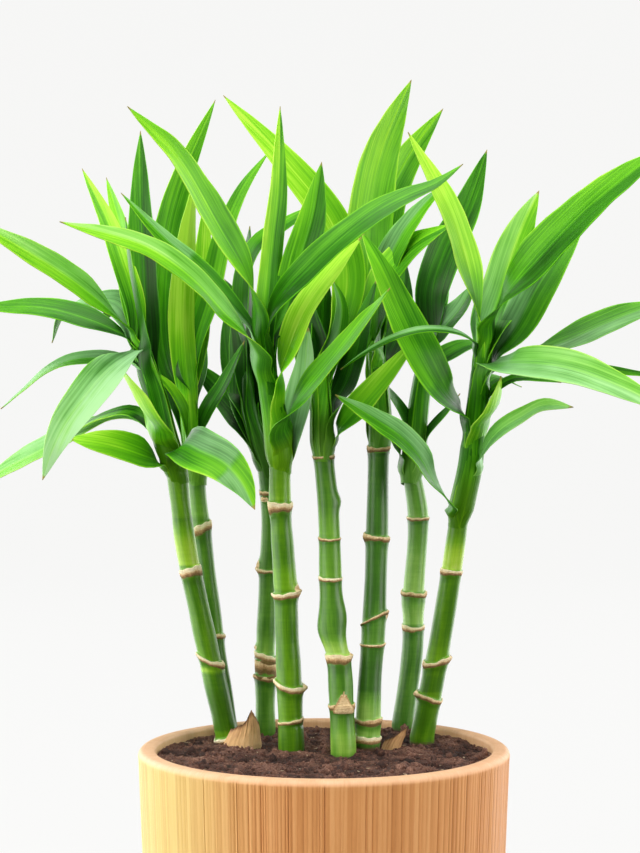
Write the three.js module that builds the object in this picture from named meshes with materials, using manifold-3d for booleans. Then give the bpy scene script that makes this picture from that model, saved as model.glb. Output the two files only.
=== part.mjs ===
// Lucky bamboo: eight upright canes with leafy shoots, standing in the soil of a ribbed wooden pot.
// Millimetres, +Z up. The origin is the centre of the pot's flat base, and the plant's front faces -Y.

import * as THREE from 'three';
import Module from 'manifold-3d';
import { mergeVertices } from 'three/addons/utils/BufferGeometryUtils.js';

const wasm = await Module();
wasm.setup();

// Pot
const POT_HEIGHT = 130;
const POT_RIM_RADIUS = 85;
const POT_BASE_RADIUS = 80;
const POT_WALL = 8;
const POT_FLOOR = 8;
const RIM_ROUND = 3;
const RIM_INNER_ROUND = 0.7;
const FOOT_CHAMFER = 1.2;
const ROUND_SEGMENTS = 48;
const RIB_COUNT = 96;
const RIB_DEPTH = 0.7;
const RIB_BOTTOM = 4;
const RIB_TOP = 126.6;

// Soil
const FIT_GAP = 0.3;
const SOIL_EDGE_HEIGHT = 126;
const SOIL_CROWN = 3;
const SOIL_RELIEF = 0.8;
const HOLE_GAP = 0.45;
const CANE_FOOT = 100;
const SOIL_SURFACE_TOP = 133;

// Canes and shoots
const CANE_SIDES = 10;
const RING_FLARE = 0.9;
const RING_HALF_HEIGHT = 1.6;
const SHOOT_SIDES = 8;

// Leaves
const BLADE_EDGE = 0.7;
const BLADE_MIDDLE = 1.1;
const BLADE_TIP_WIDTH = 1.2;
const SLIVER = 0.02;
const SHEATH_LENGTH = 10;
const WIDEST_AT = 0.34;
const ROOT_SHARE = 0.45;
const ROOT_MOST = 4.4;
const LEAF_STAGGER = 0.6;
const CHANNEL_ANGLE = 44;
const CHANNEL_AT_ROOT = 110;
const BLADE_STEP = 22;
const BLADE_MOST_STEPS = 6;

// Places on the plant are written [across, up, back]. Across and up are read on the upright plane through
// the pot's axis, in a straight look from the front, and back is the depth of the point behind that plane.
const EYE_DISTANCE = 1200;
const EYE_HEIGHT = 338;

function place([across, up, back]) {
  const spread = (EYE_DISTANCE + back) / EYE_DISTANCE;
  return new THREE.Vector3(across * spread, back, EYE_HEIGHT + (up - EYE_HEIGHT) * spread);
}

// Each plant has its cane's axis from the soil up, its radius at foot and top, its rings as
// [height, flare, slant to the right], the shoot's axis above the cane, and its leaves as
// [height on the axis, width, turn of the upper face to the front, ...points out to the tip].
const PLANTS = [
  {
    cane: [[-43, 135, 36], [-50, 167, 35], [-57, 198, 34], [-62, 219, 33], [-65.5, 243, 32], [-67, 256, 31.5]],
    radii: [5.2, 4.2],
    rings: [[135.5, 1.4, 1.5], [169.5, 1.2, 2], [211.5, 0.7, 0]],
    shoot: [[-67, 256, 31.5], [-72, 272, 31], [-76, 289, 30], [-80, 303, 30], [-83.5, 316, 30]],
    leaves: [
      [315, 14, 40, [-97, 332, 20], [-115.5, 346, 10], [-147, 365, -4], [-161, 373, -8]],
      [313, 11, 35, [-97, 323, 34], [-111, 328, 38], [-129, 331, 42], [-159, 331, 48]],
      [312, 9, 30, [-93, 334, 50], [-108.5, 334, 70], [-119, 331, 82], [-123.5, 315, 92]],
      [305, 9, 30, [-93, 311, 38], [-111, 310, 46], [-124.5, 304, 52], [-146, 285, 60]],
      [310, 20, 62, [-91, 310, 14], [-102, 299, -4], [-113, 282, -16], [-122, 266, -24], [-129, 247, -30]],
      [262, 9, 30, [-79, 278, 38], [-90.5, 284, 44], [-102, 281, 52], [-120, 268, 62]],
      [257, 16, 45, [-83.5, 266, 24], [-97, 270, 18], [-114, 271, 12]],
      [260, 14, 45, [-92, 272, 50], [-110, 271, 60], [-126, 267, 66], [-147, 255, 74], [-159, 248, 78]],
      [313, 11, 30, [-89, 335, 36], [-94, 353, 40], [-98, 369, 48], [-109.5, 394, 62]],
      [312, 9, 30, [-87, 335, 44], [-90.5, 360, 58], [-98.5, 390, 78]],
      [300, 13, 35, [-80.5, 321, 36], [-81.5, 345, 38], [-83, 378, 42], [-83, 411, 48]],
      [285, 12, 50, [-86, 297, 20], [-92, 303, 14]],
      [263, 20, 60, [-64, 268, 22], [-56, 265, 12], [-45, 259, 4], [-37, 250, -2], [-32, 239, -6]],
      [308, 12, 0, [-90, 330, 62], [-98, 342, 88], [-103, 338, 118]],
      [304, 13, 40, [-84, 326, 22], [-88, 350, 17], [-90, 372, 15]],
    ],
  },
  {
    cane: [[-42, 136, 52], [-47, 170, 54], [-50, 193, 55], [-53, 216, 56], [-56.5, 243, 58], [-58, 255, 59]],
    radii: [4.9, 4.1],
    rings: [[181.5, 0.8, 1], [232.5, 0.8, 2.5]],
    shoot: [[-58, 255, 59], [-60, 268, 61], [-61.5, 284, 63], [-62.5, 300, 66]],
    leaves: [
      [285, 14, 50, [-71, 305, 62], [-74, 324, 66], [-72, 362, 74], [-65.5, 389, 80], [-49, 425, 88]],
      [291, 15, 50, [-58, 316, 68], [-51, 337, 72], [-45, 366, 76], [-36, 387, 80], [-24.5, 402, 84]],
      [290, 9, 50, [-63, 321, 58], [-62, 343, 54], [-61, 364, 50], [-58, 384, 46]],
      [264, 11, 50, [-65, 286, 54], [-72, 297, 48], [-79, 303, 47]],
      [266, 12, 50, [-53, 283, 56], [-46, 295, 54], [-36, 316, 50]],
      [292, 9, 50, [-58, 322, 72], [-55, 350, 80], [-53.5, 374, 88]],
      [286, 12, 0, [-58, 305, 92], [-54, 318, 116], [-50, 314, 144]],
      [278, 12, 45, [-66, 297, 74], [-69, 318, 84], [-68, 342, 94]],
    ],
  },
  {
    cane: [[-26, 136, 60], [-26, 175, 60], [-26, 209, 60], [-26, 230, 60], [-27.5, 248, 60], [-29, 258, 60]],
    radii: [4.8, 4.4],
    rings: [[162, 1.1, -1], [171, 1.1, 1], [211, 0.9, 0], [246.5, 0.6, 0]],
    shoot: [[-29, 258, 60], [-32, 271, 62], [-34, 285, 65], [-35, 302, 68]],
    leaves: [
      [275, 16, 55, [-35.5, 303, 72], [-36, 326, 76], [-35, 348, 80], [-33.5, 368, 86]],
      [270, 12, 50, [-39, 282, 74], [-47, 289, 84], [-61, 305, 98]],
      [298, 13, 45, [-37, 333, 64], [-35, 352, 62], [-25, 364, 60], [-14, 371, 60], [4, 381, 62]],
      [295, 11, 40, [-38, 324, 78], [-41.5, 337, 86], [-45, 344, 94]],
      [287, 12, 0, [-30, 308, 96], [-26, 317, 124], [-22, 308, 150]],
      [283, 14, 50, [-41, 301, 78], [-44, 320, 88], [-43, 340, 98]],
    ],
  },
  {
    cane: [[-14.5, 131, 13], [-15.5, 159, 12], [-17, 185, 11], [-17.5, 202, 10], [-20, 243, 8], [-20, 261, 7]],
    radii: [6, 4.8],
    rings: [[142, 0.7, 0], [158.5, 1.6, -4], [201, 1.4, 0.6], [240, 1.3, 0.4]],
    shoot: [[-20, 261, 7], [-22, 280, 4], [-24, 292, 1], [-26.5, 304, -2], [-28, 316, -5]],
    leaves: [
      [314, 19, 54, [-33.5, 342, -14], [-47, 369, -22], [-65.5, 400, -34], [-89, 422, -46]],
      [300, 20, 50, [-33.5, 316, -18], [-45, 328, -28], [-60, 344, -36], [-80, 358, -46], [-120, 370, -62]],
      [314, 11, 45, [-47, 338, 4], [-59, 351, 8], [-72, 362, 8], [-92, 383, 6]],
      [314, 12, 50, [-25.5, 339, 2], [-23.5, 362, 8], [-21.5, 385, 14], [-20.5, 422, 24]],
      [308, 18, 46, [-22, 330, -18], [-13, 346, -24], [0.5, 359.5, -24], [25, 377, -20], [65, 398, -12]],
      [266, 18, 50, [-13, 285, -8], [-4, 298, -16], [7, 312, -22], [18.5, 325.5, -27], [32, 342, -32]],
      [290, 19, 52, [-15.5, 313, -8], [-8.5, 330, -10], [1, 344, -10], [17, 363, -10]],
      [310, 14, 50, [-17.5, 328, 4], [-11, 352, 8], [-5.5, 371, 13], [-1, 397, 20]],
      [262, 8, 40, [-11, 275, 4], [-3, 288, 3]],
      [304, 11, 0, [-24, 326, 18], [-20, 338, 38], [-17, 334, 58]],
    ],
  },
  {
    cane: [[8.5, 128.5, 2], [7.5, 150, 3], [6.5, 170, 4], [3.5, 185, 5], [3, 207, 6], [2, 240, 8], [-0.5, 266, 9]],
    radii: [5.8, 4.6],
    rings: [[151.5, 1, 1], [170.5, 1, 0], [207.5, 0.7, 0], [225.5, 0.7, 0], [262.5, 0.8, 0]],
    shoot: [[-0.5, 266, 9], [-1, 280, 12], [-1.5, 294, 17], [-1, 308, 23]],
    leaves: [
      [270, 12, 48, [8, 283, 11], [18.5, 293, 10], [30, 306, 10], [42, 316, 10]],
      [303, 15, 50, [8, 328, 30], [11.5, 349, 36], [5, 373, 38], [-17.5, 400.5, 42], [-45.5, 426.5, 48]],
      [298, 10, 40, [-1, 320, 34], [0, 338, 42], [1, 350, 48]],
      [300, 9, 45, [7, 320, 24], [8, 333, 24], [4, 344, 26]],
      [290, 10, 45, [-6, 303, 32], [-10, 314, 40], [-11, 323, 48]],
      [304, 9, 40, [9, 319, 22], [13, 328, 21], [23, 344, 20]],
      [302, 12, 0, [4, 322, 58], [7, 328, 84], [9, 318, 112]],
      [295, 13, 50, [-4, 312, 28], [-9, 330, 35], [-10, 351, 42]],
    ],
  },
  {
    cane: [[20, 133, 10], [21, 160, 11], [22.5, 180, 12], [24, 218, 13], [24.5, 243, 14], [25, 270, 15]],
    radii: [5.1, 4.7],
    rings: [[142.5, 1, 0], [177, 0.8, 0], [189, 0.9, 3], [226, 1.1, -0.6], [266.5, 0.9, 0]],
    shoot: [[25, 270, 15], [24.5, 284, 19], [24, 298, 27], [22.5, 316, 38]],
    leaves: [
      [314, 24, 62, [20, 338, 46], [18.5, 373, 50], [24, 402, 54], [39, 434.5, 60]],
      [314, 15, 50, [24, 350, 60], [28, 378, 66], [37, 399, 72], [54, 421.5, 80]],
      [312, 13, 50, [26, 348, 34], [33, 365, 30], [42, 377, 28], [53.5, 387, 28]],
      [310, 9, 45, [25, 339, 64], [28, 362, 74], [34.5, 378, 84]],
      [310, 19, 48, [27, 342, 31], [33.5, 352, 28], [43, 361, 25], [58, 369, 24]],
      [306, 12, 0, [24, 325, 78], [27, 336, 106], [30, 328, 134]],
      [303, 13, 50, [30, 317, 48], [35, 334, 56], [37, 353, 63]],
    ],
  },
  {
    cane: [[36.5, 141, 58], [41, 175, 58], [41, 200, 59], [43, 236, 60], [40, 256, 61]],
    radii: [4.9, 4.5],
    rings: [[185, 0.7, 0], [200.5, 1.2, 1], [235, 0.7, 0]],
    shoot: [[40, 256, 61], [41.5, 271, 65], [43.5, 289, 71], [46, 305, 76], [48, 319, 80]],
    leaves: [
      [317, 18, 55, [49.5, 340, 86], [55, 358, 92], [63, 374, 98], [74, 403, 108]],
      [313, 13, 45, [54, 324, 76], [60, 331, 74], [66.5, 336, 72]],
      [272, 8, 45, [37, 285, 62], [27, 296, 57]],
      [268, 6, 40, [51, 279, 61], [58, 284.5, 57]],
      [257, 10, 45, [34, 268, 58], [27.5, 278, 54], [18.5, 291, 52]],
      [308, 9, 45, [43, 322, 75], [40, 334, 72]],
      [314, 12, 0, [51, 332, 108], [55, 342, 134], [58, 336, 160]],
      [300, 12, 20, [60, 312, 100], [71, 314, 118], [82, 305, 138]],
    ],
  },
  {
    cane: [[45, 135, 32], [51, 167, 28], [54, 184, 25], [57.5, 206, 21], [60.5, 227, 18], [62, 240, 16]],
    radii: [5.8, 4.9],
    rings: [[152.5, 0.9, 1], [169, 1.2, 2], [210.5, 0.9, 0]],
    shoot: [[62, 240, 16], [64.5, 260, 14], [66, 277, 12], [69, 293, 10], [71.5, 306, 8], [73, 320, 7]],
    leaves: [
      [316, 17, 55, [66.5, 339, 6], [62, 357, 6], [56, 376, 5], [38, 410.5, 4]],
      [316, 25, 60, [82, 335, -6], [96, 352, -14], [119, 377, -22], [144, 396, -28], [158, 404, -31]],
      [308, 18, 55, [89, 325, 10], [100, 341, 14], [121, 373, 20]],
      [314, 21, 55, [79, 338, 22], [84, 356, 30], [88.5, 368, 36], [96, 384, 44]],
      [305, 14, 40, [89, 309, 18], [104, 314, 24], [130, 326, 34], [158, 329, 44]],
      [303, 19, 56, [84.5, 308, -14], [103, 308, -26], [121, 303.5, -34], [144, 293, -43], [158, 283.5, -48]],
      [300, 9, 40, [98, 303, 22], [121, 302, 30], [138, 300, 36], [155, 296, 42]],
      [286, 6, 40, [82, 298, 4], [88, 300.5, 3], [100.5, 298, 4], [122, 296, 8]],
      [264, 14, 45, [75.5, 273, 2], [87, 281, -4], [100, 289, -9], [114, 286, -14]],
      [243, 17, 52, [53, 251, 2], [43.5, 262, -3], [34.5, 272, -5], [23, 281, -6], [5, 291.5, -8]],
      [282, 20, 54, [53, 293, 0], [41.5, 312, -2], [34.5, 330, 3], [25.5, 350, 8], [17, 365.5, 14]],
      [311, 6, 30, [62, 319, -6], [46, 321, -14], [32, 317.5, -15], [18.5, 310.5, -9], [7.5, 303, -5]],
      [278, 9, 40, [74.5, 287, 2], [79.5, 293.5, -1]],
      [310, 12, 0, [75, 326, 38], [78, 336, 62], [84, 332, 88]],
      [284, 10, 20, [72, 293, 36], [79, 299, 56], [90, 295, 78]],
    ],
  },
];

// Dry husks at the foot of the canes: [across, up, back] of foot, belly and tip, and the radius at each
const HUSKS = [
  { axis: [[-33.5, 124, 30], [-34, 134, 29], [-34, 141, 29], [-34.5, 147, 30]], radii: [4.8, 4.4, 3, 0.8] },
  { axis: [[29, 122, 20], [31, 130, 21], [34, 136, 22], [38.5, 139.5, 25]], radii: [4.2, 4, 3.2, 0.8] },
];

// Closed solids

function toSolid(geometry) {
  geometry.deleteAttribute('normal');
  geometry.deleteAttribute('uv');
  const merged = mergeVertices(geometry, 1e-4);
  const vertProperties = Float32Array.from(merged.attributes.position.array);
  const triVerts = Uint32Array.from(merged.index.array);
  return new wasm.Manifold(new wasm.Mesh({ numProp: 3, vertProperties, triVerts }));
}

function toGeometry(solid) {
  const mesh = solid.getMesh();
  const geometry = new THREE.BufferGeometry();
  geometry.setAttribute('position', new THREE.BufferAttribute(Float32Array.from(mesh.vertProperties), 3));
  geometry.setIndex(new THREE.BufferAttribute(Uint32Array.from(mesh.triVerts), 1));
  return geometry;
}

// Skins a stack of closed rings, all with the same number of points, and caps both ends with a fan.
function skin(rings) {
  const count = rings[0].length;
  const positions = rings.flat().flatMap((point) => [point.x, point.y, point.z]);
  const indices = [];
  for (let row = 0; row + 1 < rings.length; row += 1) {
    for (let side = 0; side < count; side += 1) {
      const a = row * count + side;
      const b = row * count + ((side + 1) % count);
      indices.push(a, b, a + count, b, b + count, a + count);
    }
  }
  const last = (rings.length - 1) * count;
  for (let side = 1; side + 1 < count; side += 1) {
    indices.push(0, side + 1, side);
    indices.push(last, last + side, last + side + 1);
  }
  const geometry = new THREE.BufferGeometry();
  geometry.setAttribute('position', new THREE.Float32BufferAttribute(positions, 3));
  geometry.setIndex(indices);
  return geometry;
}

// A level ring round a centre, lifted on its right side by the slant.
function levelRing(centre, radius, sides, slant = 0) {
  return Array.from({ length: sides }, (_, side) => {
    const angle = (side * 2 * Math.PI) / sides;
    const across = Math.cos(angle);
    return new THREE.Vector3(
      centre.x + radius * across,
      centre.y + radius * Math.sin(angle),
      centre.z + slant * across,
    );
  });
}

function curveThrough(points) {
  return new THREE.CatmullRomCurve3(points.map(place));
}

function pointAtHeight(curve, height) {
  let low = 0;
  let high = 1;
  for (let step = 0; step < 30; step += 1) {
    const middle = (low + high) / 2;
    if (curve.getPoint(middle).z < height) low = middle;
    else high = middle;
  }
  return curve.getPoint((low + high) / 2);
}

// Height of a point read on the axis plane, at the depth of the curve there
function trueHeight(curve, up) {
  const near = pointAtHeight(curve, up);
  return place([0, up, near.y]).z;
}

// The largest closed skin of a solid, which leaves out scraps and fills hollows that joining sealed
function outerBody(solid) {
  return solid.decompose().reduce((one, other) => (other.volume() > one.volume() ? other : one));
}

// The same body without the sliver edges, shorter than the join's tolerance, that crossing blades leave
function withoutSlivers(solid) {
  return solid.simplify(SLIVER);
}

// Pot

function makePot() {
  const inner = POT_RIM_RADIUS - POT_WALL;
  const innerFoot = POT_BASE_RADIUS - POT_WALL;
  const wall = (height) => POT_BASE_RADIUS + ((POT_RIM_RADIUS - POT_BASE_RADIUS) * height) / POT_HEIGHT;
  const outline = [
    new THREE.Vector2(0, 0),
    new THREE.Vector2(POT_BASE_RADIUS - FOOT_CHAMFER - RIB_DEPTH, 0),
    new THREE.Vector2(wall(FOOT_CHAMFER) - RIB_DEPTH, FOOT_CHAMFER),
    new THREE.Vector2(wall(RIB_TOP) - RIB_DEPTH, RIB_TOP),
    new THREE.Vector2(POT_RIM_RADIUS, RIB_TOP),
  ];
  for (const turn of [0, 45, 90]) {
    const angle = THREE.MathUtils.degToRad(turn);
    const out = POT_RIM_RADIUS - RIM_ROUND + RIM_ROUND * Math.cos(angle);
    outline.push(new THREE.Vector2(out, POT_HEIGHT - RIM_ROUND + RIM_ROUND * Math.sin(angle)));
  }
  outline.push(
    new THREE.Vector2(inner + RIM_INNER_ROUND, POT_HEIGHT),
    new THREE.Vector2(inner, POT_HEIGHT - RIM_INNER_ROUND),
    new THREE.Vector2(innerFoot, POT_FLOOR),
    new THREE.Vector2(0, POT_FLOOR),
  );
  const body = new THREE.LatheGeometry(outline, ROUND_SEGMENTS).rotateX(Math.PI / 2);

  // The ribs are a sleeve whose outline goes in and out, drawn at the rim's size and tapered to the foot.
  const ribs = new THREE.Shape();
  for (let step = 0; step < 2 * RIB_COUNT; step += 1) {
    const angle = (step * Math.PI) / RIB_COUNT;
    const radius = POT_RIM_RADIUS - (step % 2) * RIB_DEPTH * 0.8;
    const x = radius * Math.cos(angle);
    const y = radius * Math.sin(angle);
    if (step === 0) ribs.moveTo(x, y);
    else ribs.lineTo(x, y);
  }
  ribs.closePath();
  const hollow = new THREE.Path();
  hollow.absarc(0, 0, POT_RIM_RADIUS - POT_WALL / 2, 0, 2 * Math.PI, true);
  ribs.holes.push(hollow);
  const sleeve = new THREE.ExtrudeGeometry(ribs, {
    depth: RIB_TOP + RIM_ROUND / 4 - RIB_BOTTOM,
    bevelEnabled: false,
    curveSegments: ROUND_SEGMENTS / 2,
  }).translate(0, 0, RIB_BOTTOM);
  const position = sleeve.attributes.position;
  for (let index = 0; index < position.count; index += 1) {
    const taper = (wall(position.getZ(index)) - 0.05) / POT_RIM_RADIUS;
    position.setX(index, position.getX(index) * taper);
    position.setY(index, position.getY(index) * taper);
  }
  return toSolid(body).add(toSolid(sleeve));
}

// Soil

function soilRelief(x, y) {
  const lumps = Math.sin(x / 5.1 + 1.3) * Math.sin(y / 4.3 + 0.4) + 0.7 * Math.sin(x / 9 - y / 7.5);
  return SOIL_RELIEF * lumps;
}

function makeSoil(holes) {
  const top = POT_RIM_RADIUS - POT_WALL;
  const foot = POT_BASE_RADIUS - POT_WALL;
  const wallAt = (height) => foot + ((top - foot) * (height - POT_FLOOR)) / (POT_HEIGHT - POT_FLOOR) - FIT_GAP;
  const base = POT_FLOOR + FIT_GAP;
  const edge = wallAt(SOIL_EDGE_HEIGHT);
  const outline = [
    new THREE.Vector2(0, base),
    new THREE.Vector2(wallAt(base), base),
    new THREE.Vector2(edge, SOIL_EDGE_HEIGHT),
  ];
  for (const share of [0.92, 0.76, 0.6, 0.44, 0.28, 0.13, 0]) {
    outline.push(new THREE.Vector2(edge * share, SOIL_EDGE_HEIGHT + SOIL_CROWN * (1 - share * share)));
  }
  const geometry = new THREE.LatheGeometry(outline, ROUND_SEGMENTS).rotateX(Math.PI / 2);
  const position = geometry.attributes.position;
  for (let index = 0; index < position.count; index += 1) {
    const x = position.getX(index);
    const y = position.getY(index);
    const z = position.getZ(index);
    const inside = Math.hypot(x, y) < edge - 1;
    if (z > SOIL_EDGE_HEIGHT && inside) position.setZ(index, z + soilRelief(x, y));
  }
  let soil = toSolid(geometry);
  for (const hole of holes) soil = soil.subtract(hole);
  return soil;
}

// Canes

function caneRadius(plant, height, bottom, top) {
  const share = THREE.MathUtils.clamp((height - bottom) / (top - bottom), 0, 1);
  return THREE.MathUtils.lerp(plant.radii[0], plant.radii[1], share);
}

// Rows go straight down into the soil under the first point, and rise to the cut at the last one.
function makeCane(plant) {
  const curve = curveThrough(plant.cane);
  const top = place(plant.cane.at(-1));
  const foot = place(plant.cane[0]);
  const bottom = Math.max(foot.z, SOIL_SURFACE_TOP);
  const rows = [];
  const radiusAt = (height) => caneRadius(plant, height, bottom, top.z);
  const axisAt = (height) => pointAtHeight(curve, height);
  for (const height of [CANE_FOOT, bottom]) {
    const centre = new THREE.Vector3(axisAt(bottom).x, axisAt(bottom).y, height);
    rows.push({ height, ring: levelRing(centre, radiusAt(bottom), CANE_SIDES) });
  }
  for (const [up, flare, slant] of plant.rings) {
    const height = Math.max(trueHeight(curve, up), bottom + 2.2 * RING_HALF_HEIGHT);
    for (const [offset, swell] of [[-RING_HALF_HEIGHT, 0], [0, flare], [RING_HALF_HEIGHT, 0]]) {
      const centre = axisAt(height + offset);
      const radius = radiusAt(height) + swell * RING_FLARE;
      rows.push({ height: height + offset, ring: levelRing(centre, radius, CANE_SIDES, slant) });
    }
  }
  const ringHeights = rows.map((row) => row.height);
  for (const point of plant.cane.slice(1, -1)) {
    const height = place(point).z;
    const clear = ringHeights.every((other) => Math.abs(other - height) > 7);
    if (clear) rows.push({ height, ring: levelRing(axisAt(height), radiusAt(height), CANE_SIDES) });
  }
  rows.push({ height: top.z, ring: levelRing(top, plant.radii[1], CANE_SIDES) });
  rows.sort((one, other) => one.height - other.height);
  return toSolid(skin(rows.map((row) => row.ring)));
}

function makeHole(plant) {
  const curve = curveThrough(plant.cane);
  const bottom = Math.max(place(plant.cane[0]).z, SOIL_SURFACE_TOP);
  const centre = pointAtHeight(curve, bottom);
  const radius = plant.radii[0] + HOLE_GAP;
  const foot = new THREE.Vector3(centre.x, centre.y, CANE_FOOT - FIT_GAP);
  const mouth = new THREE.Vector3(centre.x, centre.y, SOIL_SURFACE_TOP + 5);
  return toSolid(skin([levelRing(foot, radius, CANE_SIDES), levelRing(mouth, radius, CANE_SIDES)]));
}

// Shoots and leaves

function bladeWidth(share, width) {
  if (share < WIDEST_AT) {
    const rise = THREE.MathUtils.smoothstep(share, 0, WIDEST_AT);
    return THREE.MathUtils.lerp(Math.min(width * ROOT_SHARE, ROOT_MOST), width, rise);
  }
  const fall = (share - WIDEST_AT) / (1 - WIDEST_AT);
  return Math.max(width * (1 - fall * fall) ** 1.15, BLADE_TIP_WIDTH);
}

// A blade follows its curve as a shallow channel, open to its upper face. Its upper face looks to the stem
// at the root, and turns to the front by the leaf's own turn on the way out.
function makeLeaf(stem, [height, width, turn, ...points], stagger) {
  const bottom = stem.getPoint(0).z;
  const start = Math.max(trueHeight(stem, height), bottom + 3) - stagger;
  const rootLow = pointAtHeight(stem, Math.max(start - SHEATH_LENGTH, bottom + 1.5 + stagger / 4));
  const root = pointAtHeight(stem, start);
  const curve = new THREE.CatmullRomCurve3([rootLow, root, ...points.map(place)]);
  const tip = curve.getPoint(1);
  const outward = new THREE.Vector3(tip.x - root.x, tip.y - root.y, 0).normalize();
  const level = new THREE.Vector3().crossVectors(outward, new THREE.Vector3(0, 0, 1));
  const frameAt = (share) => {
    const along = curve.getTangentAt(share);
    const side = level.clone().addScaledVector(along, -level.dot(along)).normalize();
    return { along, side, face: new THREE.Vector3().crossVectors(side, along) };
  };
  const middle = frameAt(0.5);
  const sense = new THREE.Vector3().crossVectors(middle.along, middle.face).y < 0 ? 1 : -1;
  const steps = Math.min(Math.max(Math.round(curve.getLength() / BLADE_STEP), 3), BLADE_MOST_STEPS);
  const rings = Array.from({ length: steps + 1 }, (_, step) => {
    const share = step / steps;
    const { along, side, face } = frameAt(share);
    const angle = sense * THREE.MathUtils.degToRad(turn) * THREE.MathUtils.smoothstep(share, 0.08, 0.45);
    side.applyAxisAngle(along, angle);
    face.applyAxisAngle(along, angle);
    const centre = curve.getPointAt(share);
    const opening = THREE.MathUtils.smoothstep(share, 0, 0.3);
    const channel = THREE.MathUtils.degToRad(THREE.MathUtils.lerp(CHANNEL_AT_ROOT, CHANNEL_ANGLE, opening));
    const bend = bladeWidth(share, width) / channel;
    const half = bend * Math.sin(channel / 2);
    const sag = bend * (1 - Math.cos(channel / 2));
    const at = (across, lift) => centre.clone().addScaledVector(side, across).addScaledVector(face, lift);
    const thin = BLADE_EDGE / 2;
    const thick = BLADE_MIDDLE / 2;
    return [
      at(-half, sag + thin), at(0, thick), at(half, sag + thin),
      at(half, sag - thin), at(0, -thick), at(-half, sag - thin),
    ];
  });
  return toSolid(skin(rings));
}

function makeShoot(plant) {
  const points = plant.shoot.map(place);
  points[0].z += FIT_GAP;
  const stem = new THREE.CatmullRomCurve3(points);
  const rows = points.map((point, index) => {
    const share = index / (points.length - 1);
    const radius = THREE.MathUtils.lerp(plant.radii[1] - 0.3, plant.radii[1] * 0.62, share);
    return levelRing(point, radius, SHOOT_SIDES);
  });
  const leaves = plant.leaves.map((leaf, index) => makeLeaf(stem, leaf, (index % 5) * LEAF_STAGGER));
  return outerBody(withoutSlivers(leaves.reduce((shoot, leaf) => shoot.add(leaf), toSolid(skin(rows)))));
}

function makeHusk(husk, grow = 0) {
  const rings = husk.axis.map((point, index) => levelRing(place(point), husk.radii[index] + grow, SHOOT_SIDES));
  return toSolid(skin(rings));
}

// Assembly

const materials = {
  pot: new THREE.MeshStandardMaterial({ color: 0xd9a867, roughness: 0.55, metalness: 0 }),
  soil: new THREE.MeshStandardMaterial({ color: 0x5a4137, roughness: 0.95, metalness: 0 }),
  cane: new THREE.MeshStandardMaterial({ color: 0x5e9a2a, roughness: 0.35, metalness: 0 }),
  leaf: new THREE.MeshStandardMaterial({ color: 0x5fb02c, roughness: 0.4, metalness: 0 }),
  husk: new THREE.MeshStandardMaterial({ color: 0xb98a55, roughness: 0.8, metalness: 0 }),
};

const bamboo = new THREE.Group();

function addPiece(name, solid, material) {
  const mesh = new THREE.Mesh(toGeometry(solid), material);
  mesh.name = name;
  bamboo.add(mesh);
}

const seats = [...PLANTS.map(makeHole), ...HUSKS.map((husk) => makeHusk(husk, HOLE_GAP))];
addPiece('pot', makePot(), materials.pot);
addPiece('soil', makeSoil(seats), materials.soil);
PLANTS.forEach((plant, index) => {
  addPiece(`cane_${index + 1}`, makeCane(plant), materials.cane);
  addPiece(`shoot_${index + 1}`, makeShoot(plant), materials.leaf);
});
HUSKS.forEach((husk, index) => addPiece(`dry_husk_${index + 1}`, makeHusk(husk), materials.husk));

export default bamboo;
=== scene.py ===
"""Lucky bamboo: eight leafy canes in the soil of a ribbed wooden pot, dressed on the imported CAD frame.

Shapes are worked out in millimetres, in the frame of the CAD, and become metres when their mesh is made.
"""

import math
import random

import bmesh
import bpy
import numpy as np
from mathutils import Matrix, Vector, noise


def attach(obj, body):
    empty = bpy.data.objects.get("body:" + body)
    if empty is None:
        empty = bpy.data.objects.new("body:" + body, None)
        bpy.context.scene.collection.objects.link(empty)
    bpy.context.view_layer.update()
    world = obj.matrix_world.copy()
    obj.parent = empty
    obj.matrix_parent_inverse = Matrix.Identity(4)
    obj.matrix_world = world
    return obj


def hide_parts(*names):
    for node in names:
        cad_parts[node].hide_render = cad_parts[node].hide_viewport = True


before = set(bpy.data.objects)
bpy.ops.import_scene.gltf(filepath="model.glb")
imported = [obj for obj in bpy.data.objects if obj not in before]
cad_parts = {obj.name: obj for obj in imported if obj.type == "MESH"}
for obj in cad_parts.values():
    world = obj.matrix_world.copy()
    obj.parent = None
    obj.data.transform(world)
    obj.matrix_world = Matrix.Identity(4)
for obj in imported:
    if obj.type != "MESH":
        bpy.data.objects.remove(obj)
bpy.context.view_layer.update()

MM = 0.001

# Pot
POT_HEIGHT = 130
POT_RIM_RADIUS = 85
POT_BASE_RADIUS = 80
POT_WALL = 8
POT_FLOOR = 8
RIM_ROUND = 3
RIM_INNER_ROUND = 1.6
FOOT_CHAMFER = 1.2
SLAT_COUNT = 300
SLAT_SAMPLES = 5
SLAT_DEPTH = 0.42
SLAT_BOTTOM = 3.5
SLAT_TOP = 129.2
SLAT_FADE = 2.6
SLAT_WIDTHS = (0.55, 1.5)
SLAT_TONES = (0.16, 0.5)
POT_BASE_MIDDLE = 40

# Heights of the rows up the pot's side
POT_ROWS = [2.5, SLAT_BOTTOM, 5, 9, *np.linspace(14, 118, 14), 122, 124, 125.4]
INNER_WALL_TOP = 118

# Across the pot, where its ribs grow from shallow to full depth and where light painted on its left fades,
# so its wood turns from straw to honey
RIBS_DEEPEN = (-72, -34)
PAINTED_LIGHT_FADES = (-80, -20)

# The tiny ring at the axis that closes the bottom of a round solid
END_RADIUS = 0.5

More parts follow.
